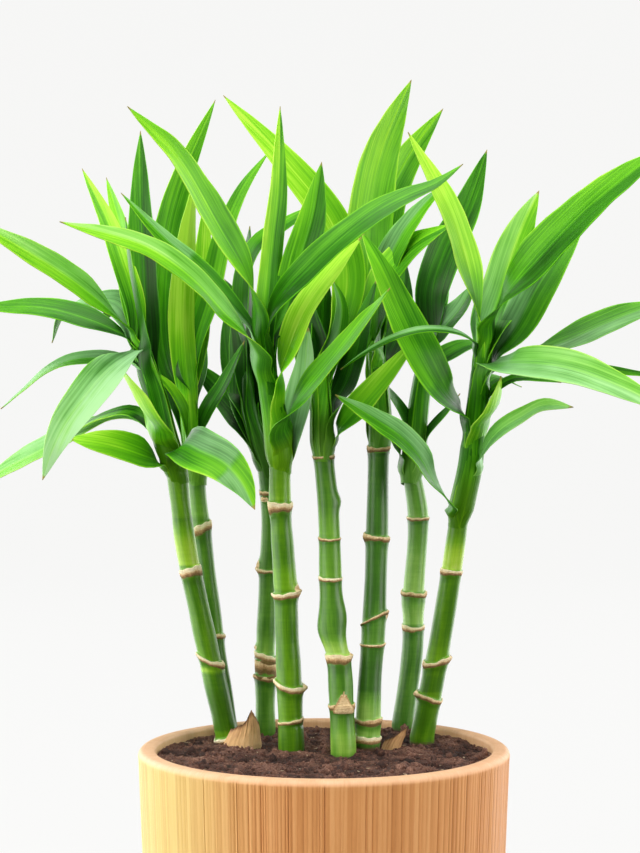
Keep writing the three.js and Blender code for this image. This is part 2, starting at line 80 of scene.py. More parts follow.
# Soil
SOIL_EDGE_HEIGHT = 126
SOIL_DISH = 0.5
SOIL_GAP = 0.1
SOIL_RINGS = 120
SOIL_COLUMNS = 480
MOUND_REACH = 10
SWELL_SIZE, SWELL_RISE = 17, 1.7
LUMP_SIZE, LUMP_RISE = 7.5, 0.95
GRIT_SIZE, GRIT_RISE = 1.6, 0.45
CRUMB_COUNT = 2300
CLOD_COUNT = 240
CHIP_COUNT = 70
CRUMB_SIZES = (0.3, 0.85)
CLOD_SIZES = (1.0, 2.4)
CHIP_LENGTHS = (0.9, 2.4)
CHIP_WIDTHS = (0.2, 0.42)
CHIP_THICK = 0.2

# Canes
CANE_FOOT = 100
CANE_COLUMNS = 56
CANE_ROW = 1.5
RING_ROW = 0.3
RING_REACH = 5
RING_OUT = 0.95
RING_FOOT = 0.45
RING_FOOT_FADE = 2.2
RING_NECK_FADE = 0.22
BUD_OUT = 0.7
CANE_LIGHT = 0.36

# Waves round a ring: [height, number of waves in a full turn]
RING_SWELLING = [(0.22, 1), (0.1, 3), (0.05, 8)]
RING_RAGS = [(0.26, 2), (0.09, 7)]
RING_WAVES = (2, 3, 7)

# Stems
STEM_ROWS = 44
STEM_COLUMNS = 22
STEM_TAPER = 0.62
STEM_BELOW = 5
STEM_LIGHT = 0.42
STEM_TONE = 0.5

# Husks
HUSK_THICK = 0.5
HUSK_ROWS = 48
HUSK_COLUMNS = 56

# Waves over a husk: [height, wave length, phase]
HUSK_TEARS = [(0.03, 0.83, 1), (0.016, 0.37, 2), (0.008, 0.11, 0)]
HUSK_FIBRES = [(0.16, 0.31, 1), (0.1, 0.17, 2), (0.06, 0.09, 0)]

# Leaves
WIDEST_AT = 0.42
ROOT_SHARE = 0.55
ROOT_LEAST = 0.3
TIP_WIDTH = 0.18
CHANNEL_ANGLE = 44
SHEATH_LENGTH = 10
SHEATH_SHORT = 1.2
SHEATH_LEAST = 1.9
SHEATH_MOST = 3.7
SHEATH_LAYER = 0.19
SHEATH_MOST_LAYERS = 6
LEAF_STAGGER = 0.6
LEAF_ROW = 2.6
LEAF_LEAST_ROWS = 16
LEAF_MOST_ROWS = 64
WIDE_LEAF = 11
WIDE_COLUMNS = 13
NARROW_COLUMNS = 9
BLADE_MIDDLE = 0.7
BLADE_EDGE = 0.34
LEAF_CROWDING = 0.35
DRY_TIP = 4
TIP_THIN = 0.75
FOOT_FADE = (4, 26)
ROOT_SHADE = 0.3
CURVE_SAMPLES = 420

# Shares of a leaf's length between which its turn and its ripples begin, and its ripples end
TURN_BEGINS = (0.08, 0.45)
RIPPLES_BEGIN = (0.2, 0.45)
RIPPLES_END = (0.86, 1)

# Ripples: [share of the leaf's width, shortest wave length, longest one]
LEAF_RIPPLES = [(0.014, 30, 50), (0.006, 12, 20)]

# Studio, in metres: each light's name, its place, the height that it aims at on the pot's axis, its width
# and height, its power and its colour
LIGHTS = [
    ("left", (-1.5, -0.45, 0.4), 0.3, 1.8, 1.8, 32, (1.0, 1.0, 0.97)),
    ("left edge", (-1.3, 1.1, 0.35), 0.3, 1.8, 1.7, 29, (1.0, 1.0, 1.0)),
    ("front", (-0.5, -1.2, 1.7), 0.25, 1.0, 1.0, 17, (1.0, 0.99, 0.95)),
    ("right", (1.5, -0.7, 0.5), 0.15, 1.0, 1.0, 19, (1.0, 0.98, 0.94)),
    ("right edge", (1.3, 1.2, 0.3), 0.25, 1.8, 1.7, 30, (1.0, 1.0, 1.0)),
    ("top", (0.0, -0.1, 1.9), 0.3, 1.2, 1.2, 24, (1.0, 1.0, 0.98)),
]
SKY_STRENGTH = 0.14

# The floor, in millimetres like the pieces
FLOOR_REACH = 1900
FLOOR_BEND = 1000
FLOOR_TOP = 3200
FLOOR_COLUMNS = 96

# Places are [across, up, back] as in the CAD: across and up are read on the upright plane through the pot's
# axis in a straight look from the front, and back is the depth of the point behind that plane.
EYE_DISTANCE = 1200
EYE_HEIGHT = 338
EYE_ACROSS = -1.8
LOOK_HEIGHT = 277
LENS = 111.4
SENSOR = 36

# Leaf tones: [lightness from deep green to yellow-lime, painted bluish-white sheen]. A sheen below zero
# stands for light that comes through a thin blade, painted as a glow.
PAINTED_GLOW_LEVEL = -0.5
TONES = {
    "deep": (0.14, 0.0),
    "dark": (0.26, 0.0),
    "mid": (0.42, 0.0),
    "green": (0.55, 0.02),
    "bright": (0.68, 0.02),
    "lime": (0.82, 0.0),
    "yellow": (0.94, 0.0),
    "sunlit": (0.86, PAINTED_GLOW_LEVEL),
    "olive": (0.52, 0.0),
    "blue": (0.44, 0.5),
    "pale": (0.66, 0.36),
    "grey": (0.38, 0.45),
    "mint": (0.58, 0.56),
    "frost": (0.84, 0.98),
}

# The plants from left to right. Each has:
# cane: points up the middle of the bare cane. radii: its radius at the foot and at the top.
# cool: how bluish its green is, 0 to 1. darker: how much darker its shoot's stem is. mound: how far the soil
#   rises at its foot.
# rings: [height, half height, flare, rise to the right, rise to the back, brownness].
# bumps: [height, angle round the cane, out, half height, half angle, 1 for a scar].
# buds: dry three-cornered scales, [height of the foot, height of the point, angle round the cane, half angle
#   of the foot].
# zones: stretches that are paler or darker than the rest, [low, high, lightness].
# shoot: points up the middle of the leafy stem. below: how far the stem reaches down round the cane's top.
# leaves: [height on the stem, width, turn of the face, tone of the left or upper half, tone of the other
#   half, points out to the tip]. A width written as a pair also gives the share that is a narrow stalk.
# The two tones of a leaf are partly its own colour and partly painted light and shade, the half that faces
# the light being lighter; the darkest tones paint the shade inside the clump.
PLANTS = [dict(
    cane=[
        (-44.1, 135, 36), (-51.3, 167, 35), (-58, 198, 34), (-62.4, 219, 33), (-65.6, 243, 32),
        (-67, 256, 31.5),
    ],
    radii=(5.7, 4.6),
    cool=0,
    darker=0.08,
    rings=[
        (133.8, 1.9, 1.3, 1.6, 0.3, 0), (169.8, 1.9, 1.1, -2.6, 0.6, 0.15),
        (210.4, 2.6, 0.9, 0.9, 0.2, 0.1),
    ],
    bumps=[(167.5, -25, 0.5, 1.2, 40, 1)],
    zones=[(214, 232, 0.75), (165, 168, 0.6), (138, 160, -0.25), (236, 256, 0.2)],
    shoot=[(-67, 256, 31.5), (-72, 272, 31), (-76, 289, 30), (-80, 303, 30), (-83.5, 316, 30)],
    leaves=[
        (315, (19, 0.14), 50, "pale", "bright", (-97, 329, 20), (-115.5, 344, 10), (-147, 363.5, -4),
         (-161, 371.5, -8)),
        (313, (14, 0.12), 44, "mid", "mid", (-96, 321, 34), (-111, 327, 38), (-129, 331, 42),
         (-159, 331, 48)),
        (312, 17, 30, "grey", "grey", (-93, 332.5, 50), (-108.5, 333, 70), (-118, 329, 82),
         (-123.5, 315, 92)),
        (305, 13, 30, "grey", "mid", (-93, 307, 38), (-111, 307.5, 46), (-124.5, 303, 52), (-147, 285, 60)),
        (313, (17.5, 0.15), 52, "mint", "frost", (-91, 308, 14), (-100.5, 300.5, 0), (-110, 289, -12),
         (-118, 278, -20), (-123, 268, -26), (-128.3, 252.5, -30)),
        (262, 9, 30, "dark", "olive", (-77.5, 276.5, 38), (-83, 281.6, 40), (-89, 284, 43), (-96, 283, 48),
         (-104, 280.2, 54), (-118, 272, 62)),
        (257, 21, 45, "lime", "bright", (-83.5, 264, 24), (-97, 268.5, 18), (-116, 271.5, 12)),
        (258, (17, 0.42), 45, "mint", "pale", (-78, 275.5, 46), (-84, 280.5, 50), (-93, 282, 56),
         (-104, 279, 60), (-115, 273.5, 64), (-128, 266.5, 68), (-147, 256.5, 74), (-159, 249.5, 78)),
        (313, 11, 30, "green", "lime", (-86.5, 335, 36), (-92, 353, 40), (-97.5, 369, 48),
         (-109.5, 394, 62)),
        (312, 11, 30, "bright", "pale", (-87, 335, 44), (-90.5, 360, 58), (-98.5, 390, 78)),
        (300, 15, 35, "mid", "deep", (-80.5, 321, 36), (-81.5, 345, 38), (-83, 378, 42), (-83, 411, 48)),
        (270, 24, 20, "yellow", "lime", (-81.5, 284, 17), (-87, 294, 14), (-94, 306, 10)),
        (263, 22, 58, "grey", "green", (-64, 268.5, 22), (-56, 265.5, 12), (-44.5, 259.5, 4),
         (-36.5, 250, -2), (-31.5, 239, -6)),
        (308, 12, 0, "mid", "mid", (-88, 325, 62), (-95, 330, 88), (-100, 325, 118)),
        (304, 13, 40, "dark", "dark", (-84, 326, 22), (-88, 350, 17), (-90, 372, 15)),
    ],
), dict(
    cane=[
        (-43.2, 136, 52), (-48.4, 170, 54), (-51.4, 193, 55), (-54.1, 216, 56), (-57.2, 243, 58),
        (-58, 255, 59),
    ],
    radii=(4.6, 4.25),
    cool=0.35,
    rings=[(181.4, 2, 0.9, -0.6, 0.3, 0.35), (230.2, 2.6, 1, 1.9, 0.4, 0.15)],
    bumps=[],
    zones=[(236, 250, 0.3), (140, 176, -0.3)],
    shoot=[(-58, 255, 59), (-60, 268, 61), (-61.5, 284, 63), (-62.5, 300, 66)],
    leaves=[
        (285, 16, 50, "green", "mid", (-71, 305, 62), (-74, 324, 66), (-71.5, 362, 74), (-64.5, 389, 80),
         (-49, 425, 88)),
        (291, 11.5, 50, "mid", "green", (-58, 316, 68), (-52, 336, 72), (-45.6, 364, 76), (-36.6, 385, 80),
         (-24.5, 402, 84)),
        (290, 15, 24, "sunlit", "lime", (-64, 321, 58), (-63.5, 343, 54), (-61.5, 366, 50),
         (-58.5, 390, 46)),
        (264, 14, 50, "bright", "mid", (-65, 286, 54), (-72, 297, 48), (-79, 303, 47)),
        (266, 15, 50, "dark", "deep", (-53, 283, 56), (-46, 295, 54), (-36, 316, 50)),
        (292, 14, 50, "bright", "lime", (-58, 322, 72), (-55, 352, 80), (-53.5, 381, 88)),
        (286, 12, 0, "mid", "dark", (-58, 305, 92), (-58.5, 317, 114), (-59, 311, 140)),
        (278, 15, 45, "deep", "dark", (-66, 297, 74), (-69, 318, 84), (-68, 342, 94)),
    ],
), dict(
    cane=[
        (-26.8, 136, 60), (-26.5, 175, 60), (-25.4, 209, 60), (-24.5, 230, 60), (-25.3, 248, 60),
        (-26.4, 258, 60),
    ],
    radii=(4.9, 4),
    cool=0.45,
    darker=0.3,
    rings=[
        (166.5, 5.2, 0.7, -0.8, 0.4, 0.6), (162, 1.4, 1.1, -0.4, 0.3, 0.4),
        (171.5, 1.8, 1.3, -1.2, 0.5, 0.2), (211, 1.3, 0.8, 0, 0.3, 0.3), (246.6, 1.4, 0.7, 0, 0.3, 0.65),
    ],
    bumps=[(213.5, 180, 1.6, 3, 32, 1), (176, 180, 1.2, 1.6, 30, 1), (244, -120, 0.8, 1.4, 30, 1)],
    zones=[(174, 182, 0.25), (140, 158, 0.1), (190, 206, 0.1), (246, 258, -0.35)],
    shoot=[(-26.4, 258, 60), (-30.4, 271, 62), (-34, 285, 65), (-35, 302, 68)],
    leaves=[
        (275, 22, 62, "dark", "deep", (-35.5, 303, 72), (-36, 326, 76), (-35, 348, 80), (-33.5, 368, 86)),
        (270, 15, 50, "deep", "dark", (-37, 281, 74), (-45, 291, 84), (-60, 307, 98)),
        (298, 14, 45, "mid", "dark", (-37, 333, 64), (-35.5, 348, 62), (-30, 360, 60), (-18, 368.5, 60),
         (4, 381, 62)),
        (295, 11, 40, "dark", "deep", (-38, 324, 78), (-41.5, 337, 86), (-45, 344, 94)),
        (287, 12, 0, "mid", "dark", (-30, 308, 96), (-26, 317, 124), (-22, 308, 150)),
        (283, 15, 50, "dark", "deep", (-39.5, 301, 78), (-42, 320, 88), (-41, 340, 98)),
    ],
), dict(
    cane=[
        (-14.9, 131, 13), (-15.8, 159, 12), (-17, 185, 11), (-17.5, 202, 10), (-20, 243, 8), (-20, 261, 7),
    ],
    radii=(6, 4.8),
    cool=0,
    rings=[
        (142, 1.1, 0.6, 1, 0.5, 0.45), (158.5, 1.6, 1.6, -1.7, 2, 0.15), (200, 1.9, 1.4, 0.5, 0.6, 0.15),
        (240, 3.2, 1.3, 0.4, 0.4, 0.2),
    ],
    bumps=[(203, -12, 1.2, 2.2, 34, 1), (157.5, 0, 1.1, 1.5, 26, 1), (140.4, -45, -0.5, 0.9, 40, 0)],
    zones=[(203, 214, 0.35), (244, 258, 0.3), (146, 156, 0.1), (162, 180, 0.1)],
    shoot=[(-20, 261, 7), (-22, 280, 4), (-24, 292, 1), (-26.5, 304, -2), (-28, 316, -5)],
    leaves=[
        (314, 22, 64, "green", "bright", (-34, 342, -14), (-49, 369.5, -22), (-67.5, 400.5, -34),
         (-89, 422, -46)),
        (300, 20, 50, "pale", "green", (-33.5, 316, -18), (-45, 328, -28), (-60, 344, -36), (-80, 358, -46),
         (-120, 370, -62)),
        (314, 11, 45, "blue", "mid", (-47, 338, 4), (-59, 351, 8), (-72, 362, 8), (-92, 383, 6)),
        (314, 12, 50, "lime", "mid", (-25.5, 339, 2), (-23.5, 362, 8), (-20.9, 385, 14), (-19.8, 422, 24)),
        (308, 16, 54, "mid", "dark", (-22.5, 330.5, -18), (-5.5, 350.5, -26), (12, 366, -26),
         (25.5, 375.5, -23), (38, 382, -19), (51, 387.5, -15), (63, 396, -12)),
        (268, 22, 50, "green", "mid", (-21, 275, 0), (-16.5, 281.5, -4), (-11.5, 288.5, -8), (3, 306, -17),
         (16.5, 323, -24), (30, 340, -30)),
        (290, 19, 52, "sunlit", "sunlit", (-15.5, 313, -8), (-8.5, 330, -10), (1, 344, -10),
         (17, 363, -10)),
        (310, (17, 0.12), 50, "green", "dark", (-17.5, 328, 4), (-11, 352, 8), (-5.5, 371, 13),
         (-1, 397, 20)),
        (264, 17, 10, "mint", "frost", (-15, 274, 6), (-12, 286, 10), (-9, 301, 14), (-7, 322, 18)),
        (304, 11, 0, "mid", "dark", (-24, 326, 18), (-20, 338, 38), (-17, 334, 58)),
    ],
), dict(
    cane=[
        (9, 128.5, 2), (8, 150, 3), (6.8, 170, 4), (3.5, 185, 5), (3, 207, 6), (2, 240, 8), (-0.5, 266, 9),
    ],
    radii=(5.8, 4.6),
    cool=0.35,
    mound=1,
    rings=[
        (148.6, 1.7, 0.8, 0, 0.4, 0.6), (170.6, 2.4, 1, 0.3, 0.3, 0.35), (207.3, 1.2, 0.6, 0, 0.3, 0.1),
        (225.6, 0.8, 0.6, 0, 0.3, 0.55), (263, 1.2, 0.7, 0.2, 0.3, 0.55),
    ],
    bumps=[
        (190.5, 0, 2, 8.5, 55, 0), (243, 0, 1.3, 3.4, 45, 0), (183.5, 180, 1.1, 7, 50, 0),
        (172.5, 5, 1, 1.4, 22, 1),
    ],
    buds=[(147, 156, -78, 58)],
    zones=[(172, 181, 0.7), (128, 141, 0.6), (209, 222, 0.2), (228, 240, 0.15)],
    shoot=[(-0.5, 266, 9), (-1, 280, 12), (-1.5, 294, 17), (-1, 308, 23)],
    leaves=[
        (268, 15, 48, "lime", "bright", (7, 275.5, 7), (16.8, 287, 7), (28, 300, 8), (41.5, 316, 10)),
        (303, 18, 50, "lime", "bright", (8, 328, 30), (10.5, 347, 36), (3, 370.5, 38), (-18.8, 398.8, 42),
         (-45.5, 427, 48)),
        (298, 14, 40, "dark", "deep", (-1, 320, 34), (0, 338, 42), (1, 350, 48)),
        (300, 9, 45, "blue", "mid", (7, 320, 24), (8, 333, 24), (4, 344, 26)),
        (290, 14, 45, "dark", "deep", (-6, 303, 32), (-10, 314, 40), (-11, 323, 48)),
        (280, 17, 25, "dark", "deep", (9, 294, 24), (14.5, 309, 23), (18.5, 326, 22), (24, 344, 20)),
        (302, 12, 0, "mid", "dark", (4, 322, 58), (7, 328, 84), (9, 318, 112)),
        (295, 17, 50, "dark", "deep", (-4, 312, 28), (-9, 330, 35), (-10, 351, 42)),
    ],
), dict(
    cane=[(20, 133, 10), (21, 160, 11), (22.5, 180, 12), (24, 218, 13), (24.5, 243, 14), (25, 270, 15)],
    radii=(5.7, 4.8),
    cool=0.55,
    mound=2.4,
    rings=[
        (133.6, 1.9, 0.7, 0, 0.3, 0.05), (141.8, 1.7, 0.9, 0, 0.3, 0.75), (177.2, 0.7, 0.7, 0.2, 0.3, 0.5),
        (189, 0.9, 0.9, 3, -0.8, 0.55), (226, 2, 1, -0.6, 0.3, 0.55), (266.6, 1.7, 0.9, 0.2, 0.3, 0.75),
    ],
    bumps=[(191, 0, 0.7, 2.4, 30, 1), (226, 190, 0.6, 1.8, 30, 1)],
    zones=[(143, 154, 0.5), (135.6, 140, 0.5), (156, 174, -0.3), (190, 224, -0.22), (228, 262, -0.3)],
    shoot=[(25, 270, 15), (24.5, 284, 19), (24, 298, 27), (22.5, 316, 38)],
    leaves=[
        (314, 26, 66, "bright", "green", (20, 338, 46), (20.2, 373, 50), (26.2, 402, 54), (39.6, 434, 60)),
        (314, 21, 60, "bright", "mid", (24, 350, 60), (28.5, 378, 66), (38, 398.5, 72), (54, 421, 80)),
        (312, 20, 50, "grey", "mid", (28, 347, 34), (35.5, 364, 30), (44.5, 376, 28), (54.5, 387, 28)),
        (310, 12, 45, "dark", "deep", (25, 339, 64), (28, 362, 74), (34.5, 378, 84)),
        (310, 24, 48, "bright", "mid", (27, 342, 31), (33.5, 352, 28), (43, 361, 25), (58, 369, 24)),
        (306, 12, 0, "mid", "dark", (24, 325, 78), (27, 336, 106), (30, 328, 134)),
        (303, 18, 50, "dark", "deep", (30, 317, 48), (35, 334, 56), (37, 353, 63)),
    ],
), dict(
    cane=[(36.2, 141, 58), (40.6, 175, 58), (41, 200, 59), (43, 236, 60), (40, 256, 61)],
    radii=(5.2, 4.7),
    cool=0.6,
    mound=2.4,
    rings=[
        (184.8, 1.9, 0.6, 0, 0.3, 0.15), (200.4, 1.8, 1.3, -0.5, 0.4, 0.5), (235, 0.9, 0.6, 0, 0.3, 0.45),
    ],
    bumps=[(196, 0, 0.5, 4, 90, 0), (196, 180, 0.6, 4, 90, 0)],
    zones=[(187, 199, 0.6), (202, 232, 0.5), (236, 252, 0.3)],
    shoot=[(40, 256, 61), (41.5, 271, 65), (43.5, 289, 71), (46, 305, 76), (48, 319, 80)],
    leaves=[
        (317, 18, 55, "dark", "dark", (49.5, 340, 86), (55.4, 358, 92), (63.8, 374, 98), (74, 402.5, 108)),
        (311, 24, 35, "blue", "dark", (55, 322, 76), (62, 330.5, 74), (69, 343, 72)),
        (270, 15, 40, "dark", "dark", (35, 284, 62), (25.5, 298.5, 57)),
        (268, 10, 35, "dark", "dark", (50, 277, 61), (56, 284, 57), (62, 292, 54)),
        (257, 14, 40, "mid", "dark", (33.5, 267, 58), (28, 278, 54), (18.5, 291, 52)),
        (308, 13, 45, "dark", "deep", (43, 322, 75), (40, 334, 72)),
        (314, 12, 0, "mid", "dark", (51, 332, 108), (53, 341, 134), (53, 335, 160)),
        (300, 12, 20, "mid", "dark", (60, 312, 100), (71, 314, 118), (82, 305, 138)),
    ],
), dict(
    cane=[(45, 135, 32), (51, 167, 28), (54, 184, 25), (57.5, 206, 21), (60.5, 227, 18), (62, 240, 16)],
    radii=(5.8, 4.4),
    cool=0,
    darker=0.12,
    rings=[
        (152.5, 1.7, 0.9, -1.8, 0.6, 0.45), (168.8, 2.3, 1.2, 1.2, 0.4, 0.3),
        (210.4, 1.6, 0.9, -0.3, 0.3, 0.25),
    ],
    bumps=[(154.5, 180, 1.4, 1.6, 30, 1), (171.5, 10, 0.9, 1.8, 24, 1)],
    zones=[(212, 226, 0.8), (171, 180, 0.1), (156, 166, -0.3), (138, 150, -0.1)],
    below=9,
    shoot=[
        (62.6, 240, 16), (66.8, 260, 14), (68.4, 277, 12), (70.2, 293, 10), (71.5, 306, 8), (73, 320, 7),
    ],
    leaves=[
        (316, 16, 55, "lime", "sunlit", (67.8, 339, 6), (63.2, 357, 6), (56.6, 376, 5), (38, 410.5, 4)),
        (316, 25, 60, "green", "dark", (82, 335, -6), (96, 352, -14), (119.6, 376.4, -22),
         (144.3, 396, -28), (158, 405, -31)),
        (302, (19, 0.1), 55, "grey", "mid", (86, 319.5, 10), (98, 341.5, 14), (119, 373, 20)),
        (314, 21, 55, "pale", "green", (80, 338, 22), (85.5, 356, 30), (90, 368, 36), (97.5, 384, 44)),
        (304, (16, 0.36), 40, "mid", "grey", (86, 307.5, 18), (100, 312.3, 22), (112, 316.8, 27),
         (125, 322.8, 32), (142, 329.5, 38), (158, 334.5, 44)),
        (303, 18.5, 52, "pale", "mint", (84.5, 305.8, -14), (101, 305.4, -25), (114, 303, -31),
         (126, 298.8, -37), (144, 290.8, -43), (158, 282, -48)),
        (301, 8, 40, "dark", "dark", (98, 303, 22), (121, 303.5, 30), (140, 301.5, 36), (157, 299.5, 42)),
        (288, 6, 40, "mid", "dark", (80, 295.5, 4), (87, 299, 3), (99, 298.5, 6), (108, 297, 8)),
        (257, (13.5, 0.2), 45, "pale", "mint", (72, 264, 4), (76, 270.5, 2), (81.5, 276, -1),
         (89.5, 281, -4), (100, 286.6, -9), (113.5, 285.8, -14)),
        (238, (18, 0.18), 50, "blue", "mid", (57.5, 242, 4), (49.5, 252.3, 0), (43.5, 263, -4),
         (34, 273, -6), (22, 281, -7), (5, 291.5, -8)),
        (276, 21, 54, "green", "mid", (54, 293, 0), (43.5, 311.5, -2), (34.5, 330, 3), (25.5, 350, 8),
         (17, 365.5, 14)),
        (311, 6, 30, "blue", "dark", (62, 319, -6), (46, 321, -14), (32, 317.5, -15), (18.5, 310.5, -9),
         (7.5, 303, -5)),
        (274, 15, 20, "lime", "bright", (76.5, 284, 2), (79, 292, 0), (80.5, 300, -2)),
        (310, 12, 0, "mid", "dark", (75, 326, 38), (78, 336, 62), (84, 332, 88)),
        (284, 10, 20, "mid", "dark", (72, 293, 36), (79, 299, 56), (90, 295, 78)),
    ],
)]

# Dry husks at the foot of the canes. Each is a curled flap round an upright line: the points of that line,
# the flap's radius at each, the angle its back faces, half the angle it covers, how far its torn top edge
# falls off, how far its point is turned from its back, and how brown it is.
HUSKS = [dict(
    axis=[(-37.5, 124, 29), (-37, 132, 28), (-35.5, 140, 28), (-34.4, 147.5, 29)],
    radii=(9.8, 8.6, 5.6, 2.6),
    faces=-75,
    covers=140,
    falls=0.55,
    lean=24,
    brown=0.12,
), dict(
    axis=[(29, 122, 20), (31, 130, 21), (34, 136, 22), (38.5, 140.5, 25)],
    radii=(4.4, 4.2, 3.4, 1.6),
    faces=-80,
    covers=140,
    falls=0.5,
    lean=30,
    brown=0.2,
)]


# Numbers and curves

def lerp(a, b, share):
    return a + (b - a) * share


def smoothstep(value, low, high):
    share = np.clip((value - low) / (high - low), 0, 1)
    return share * share * (3 - 2 * share)


def gaussian(distance, half):
    return np.exp(-((distance / half) ** 2))


def place(point):
    """The real place of an [across, up, back] point."""
    across, up, back = point
    spread = (EYE_DISTANCE + back) / EYE_DISTANCE
    return np.array((across * spread, back, EYE_HEIGHT + (up - EYE_HEIGHT) * spread))


def unit(vectors):
    return vectors / np.linalg.norm(vectors, axis=-1, keepdims=True)


def turn_from(angles, angle):
    """How far each angle is turned from another one, from -pi to pi."""
    return np.angle(np.exp(1j * (angles - angle)))


def full_turn(columns):
    """Even angles once round."""
    return np.linspace(0, math.tau, columns, endpoint=False)


def rows(*columns):
    """Columns of matching shapes as rows of three numbers, one row for each point."""
    return np.stack(np.broadcast_arrays(*columns), axis=-1).reshape(-1, 3)


def on_both(*columns):
    """The same rows for the two faces of a sheet."""
    return np.tile(rows(*columns), (2, 1))


def round_line(centre, radius, angles, heights):
    """Rows of points at a radius round the centres of a line."""
    return rows(centre[..., 0] + radius * np.cos(angles), centre[..., 1] + radius * np.sin(angles), heights)


def wave(chance, height, length):
    """A wave with a random phase, for wander()."""
    return height, length, chance.uniform(0, 6)


def round_waves(chance, waves):
    """Waves with random phases, from pairs of [height, number of waves in a full turn]."""
    return [wave(chance, height, math.tau / turns) for height, turns in waves]


def wander(values, waves):
    """A smooth wavy line over values: the sum of sines given as (height, wave length, phase)."""
    return sum(height * np.sin(math.tau * values / length + phase) for height, length, phase in waves)


class Curve:
    """A centripetal Catmull-Rom curve through its points, kept as close samples."""

    def __init__(self, points):
        points = np.array(points, float)
        before = 2 * points[0] - points[1]
        after = 2 * points[-1] - points[-2]
        padded = np.vstack([before, points, after])
        spans = len(points) - 1
        at = np.linspace(0, 1, CURVE_SAMPLES) * spans
        index = np.minimum(at.astype(int), spans - 1)
        weight = (at - index)[:, None]
        self.samples = np.zeros((CURVE_SAMPLES, 3))
        for span in range(spans):
            chosen = index == span
            self.samples[chosen] = self.span(*padded[span:span + 4], weight[chosen])
        steps = np.linalg.norm(np.diff(self.samples, axis=0), axis=1)
        self.lengths = np.concatenate([[0], np.cumsum(steps)])
        self.length = self.lengths[-1]
        self.slopes = unit(np.gradient(self.samples, axis=0))

    @staticmethod
    def span(p0, p1, p2, p3, weight):
        d0, d1, d2 = (math.sqrt(np.linalg.norm(b - a)) for a, b in ((p0, p1), (p1, p2), (p2, p3)))
        t1 = ((p1 - p0) / d0 - (p2 - p0) / (d0 + d1) + (p2 - p1) / d1) * d1
        t2 = ((p2 - p1) / d1 - (p3 - p1) / (d1 + d2) + (p3 - p2) / d2) * d1
        square, cube = weight**2, weight**3
        return ((2 * cube - 3 * square + 1) * p1 + (cube - 2 * square + weight) * t1
                + (3 * square - 2 * cube) * p2 + (cube - square) * t2)

    def read(self, table, keys, values):
        return np.stack([np.interp(values, keys, table[:, axis]) for axis in range(3)], axis=-1)

    def at_share(self, shares):
        return self.read(self.samples, self.lengths / self.length, shares)

    def slope_at(self, shares):
        return unit(self.read(self.slopes, self.lengths / self.length, shares))

    def at_height(self, heights):
        """Points at these heights, for a curve that rises all the way."""
        return self.read(self.samples, self.samples[:, 2], heights)


def true_height(curve, up):
    """The height of a point read at up on the axis plane, at the depth of the curve there."""
    return place((0, up, curve.at_height(up)[1]))[2]


# Meshes

def add_object(name, data):
    made = bpy.data.objects.new(name, data)
    bpy.context.scene.collection.objects.link(made)
    return made


class Skin:
    """Vertices, faces and named values of a piece, gathered part by part.

    A value is an array of rows of three numbers, or a tuple of its three columns.
    """

    def __init__(self, *names):
        self.points, self.faces, self.count = [], [], 0
        self.values = {name: [] for name in names}

    def add(self, points, faces, **values):
        points = np.asarray(points, float).reshape(-1, 3)
        self.points.append(points)
        self.faces.extend(tuple(corner + self.count for corner in face) for face in faces)
        for name, kept in self.values.items():
            value = values.get(name, (0, 0, 0))
            value = rows(*value) if isinstance(value, tuple) else value
            kept.append(np.broadcast_to(value, (len(points), 3)))
        self.count += len(points)

    def build(self, name, material, sharp_angle=50):
        mesh = bpy.data.meshes.new(name)
        mesh.from_pydata((np.vstack(self.points) * MM).tolist(), [], self.faces)
        for key, kept in self.values.items():
            attribute = mesh.attributes.new(key, "FLOAT_VECTOR", "POINT")
            attribute.data.foreach_set("vector", np.vstack(kept).astype(float).ravel())
        mesh.polygons.foreach_set("use_smooth", [True] * len(mesh.polygons))
        mesh.set_sharp_from_angle(angle=math.radians(sharp_angle))
        mesh.materials.append(material)
        mesh.update()
        return add_object(name, mesh)


def tube_faces(count, columns, closed_ends=True):
    """Faces of a tube of rows, each with the same number of points, seen from outside."""
    faces = []
    for row in range(count - 1):
        for column in range(columns):
            a = row * columns + column
            b = row * columns + (column + 1) % columns
            faces.append((a, b, b + columns, a + columns))
    if closed_ends:
        faces.append(tuple(reversed(range(columns))))
        last = (count - 1) * columns
        faces.append(tuple(range(last, last + columns)))
    return faces


def sheet_faces(count, columns):
    """Faces of a closed thin sheet: the upper grid of points, then the lower grid, joined round the edge."""
    lower = count * columns
    faces = []
    for row in range(count - 1):
        for column in range(columns - 1):
            a = row * columns + column
            faces.append((a, a + columns, a + columns + 1, a + 1))
            faces.append((lower + a, lower + a + 1, lower + a + columns + 1, lower + a + columns))
    rim = list(range(columns))
    rim += [row * columns + columns - 1 for row in range(1, count)]
    rim += [(count - 1) * columns + column for column in range(columns - 2, -1, -1)]
    rim += [row * columns for row in range(count - 2, 0, -1)]
    for here, there in zip(rim, rim[1:] + rim[:1]):
        faces.append((here, there, lower + there, lower + here))
    return faces


# Materials

def linear(red, green, blue):
    """A colour written as it looks on screen, 0 to 255, as the shader's linear values."""
    shares = (value / 255 for value in (red, green, blue))
    return tuple(s / 12.92 if s <= 0.04045 else ((s + 0.055) / 1.055) ** 2.4 for s in shares) + (1,)


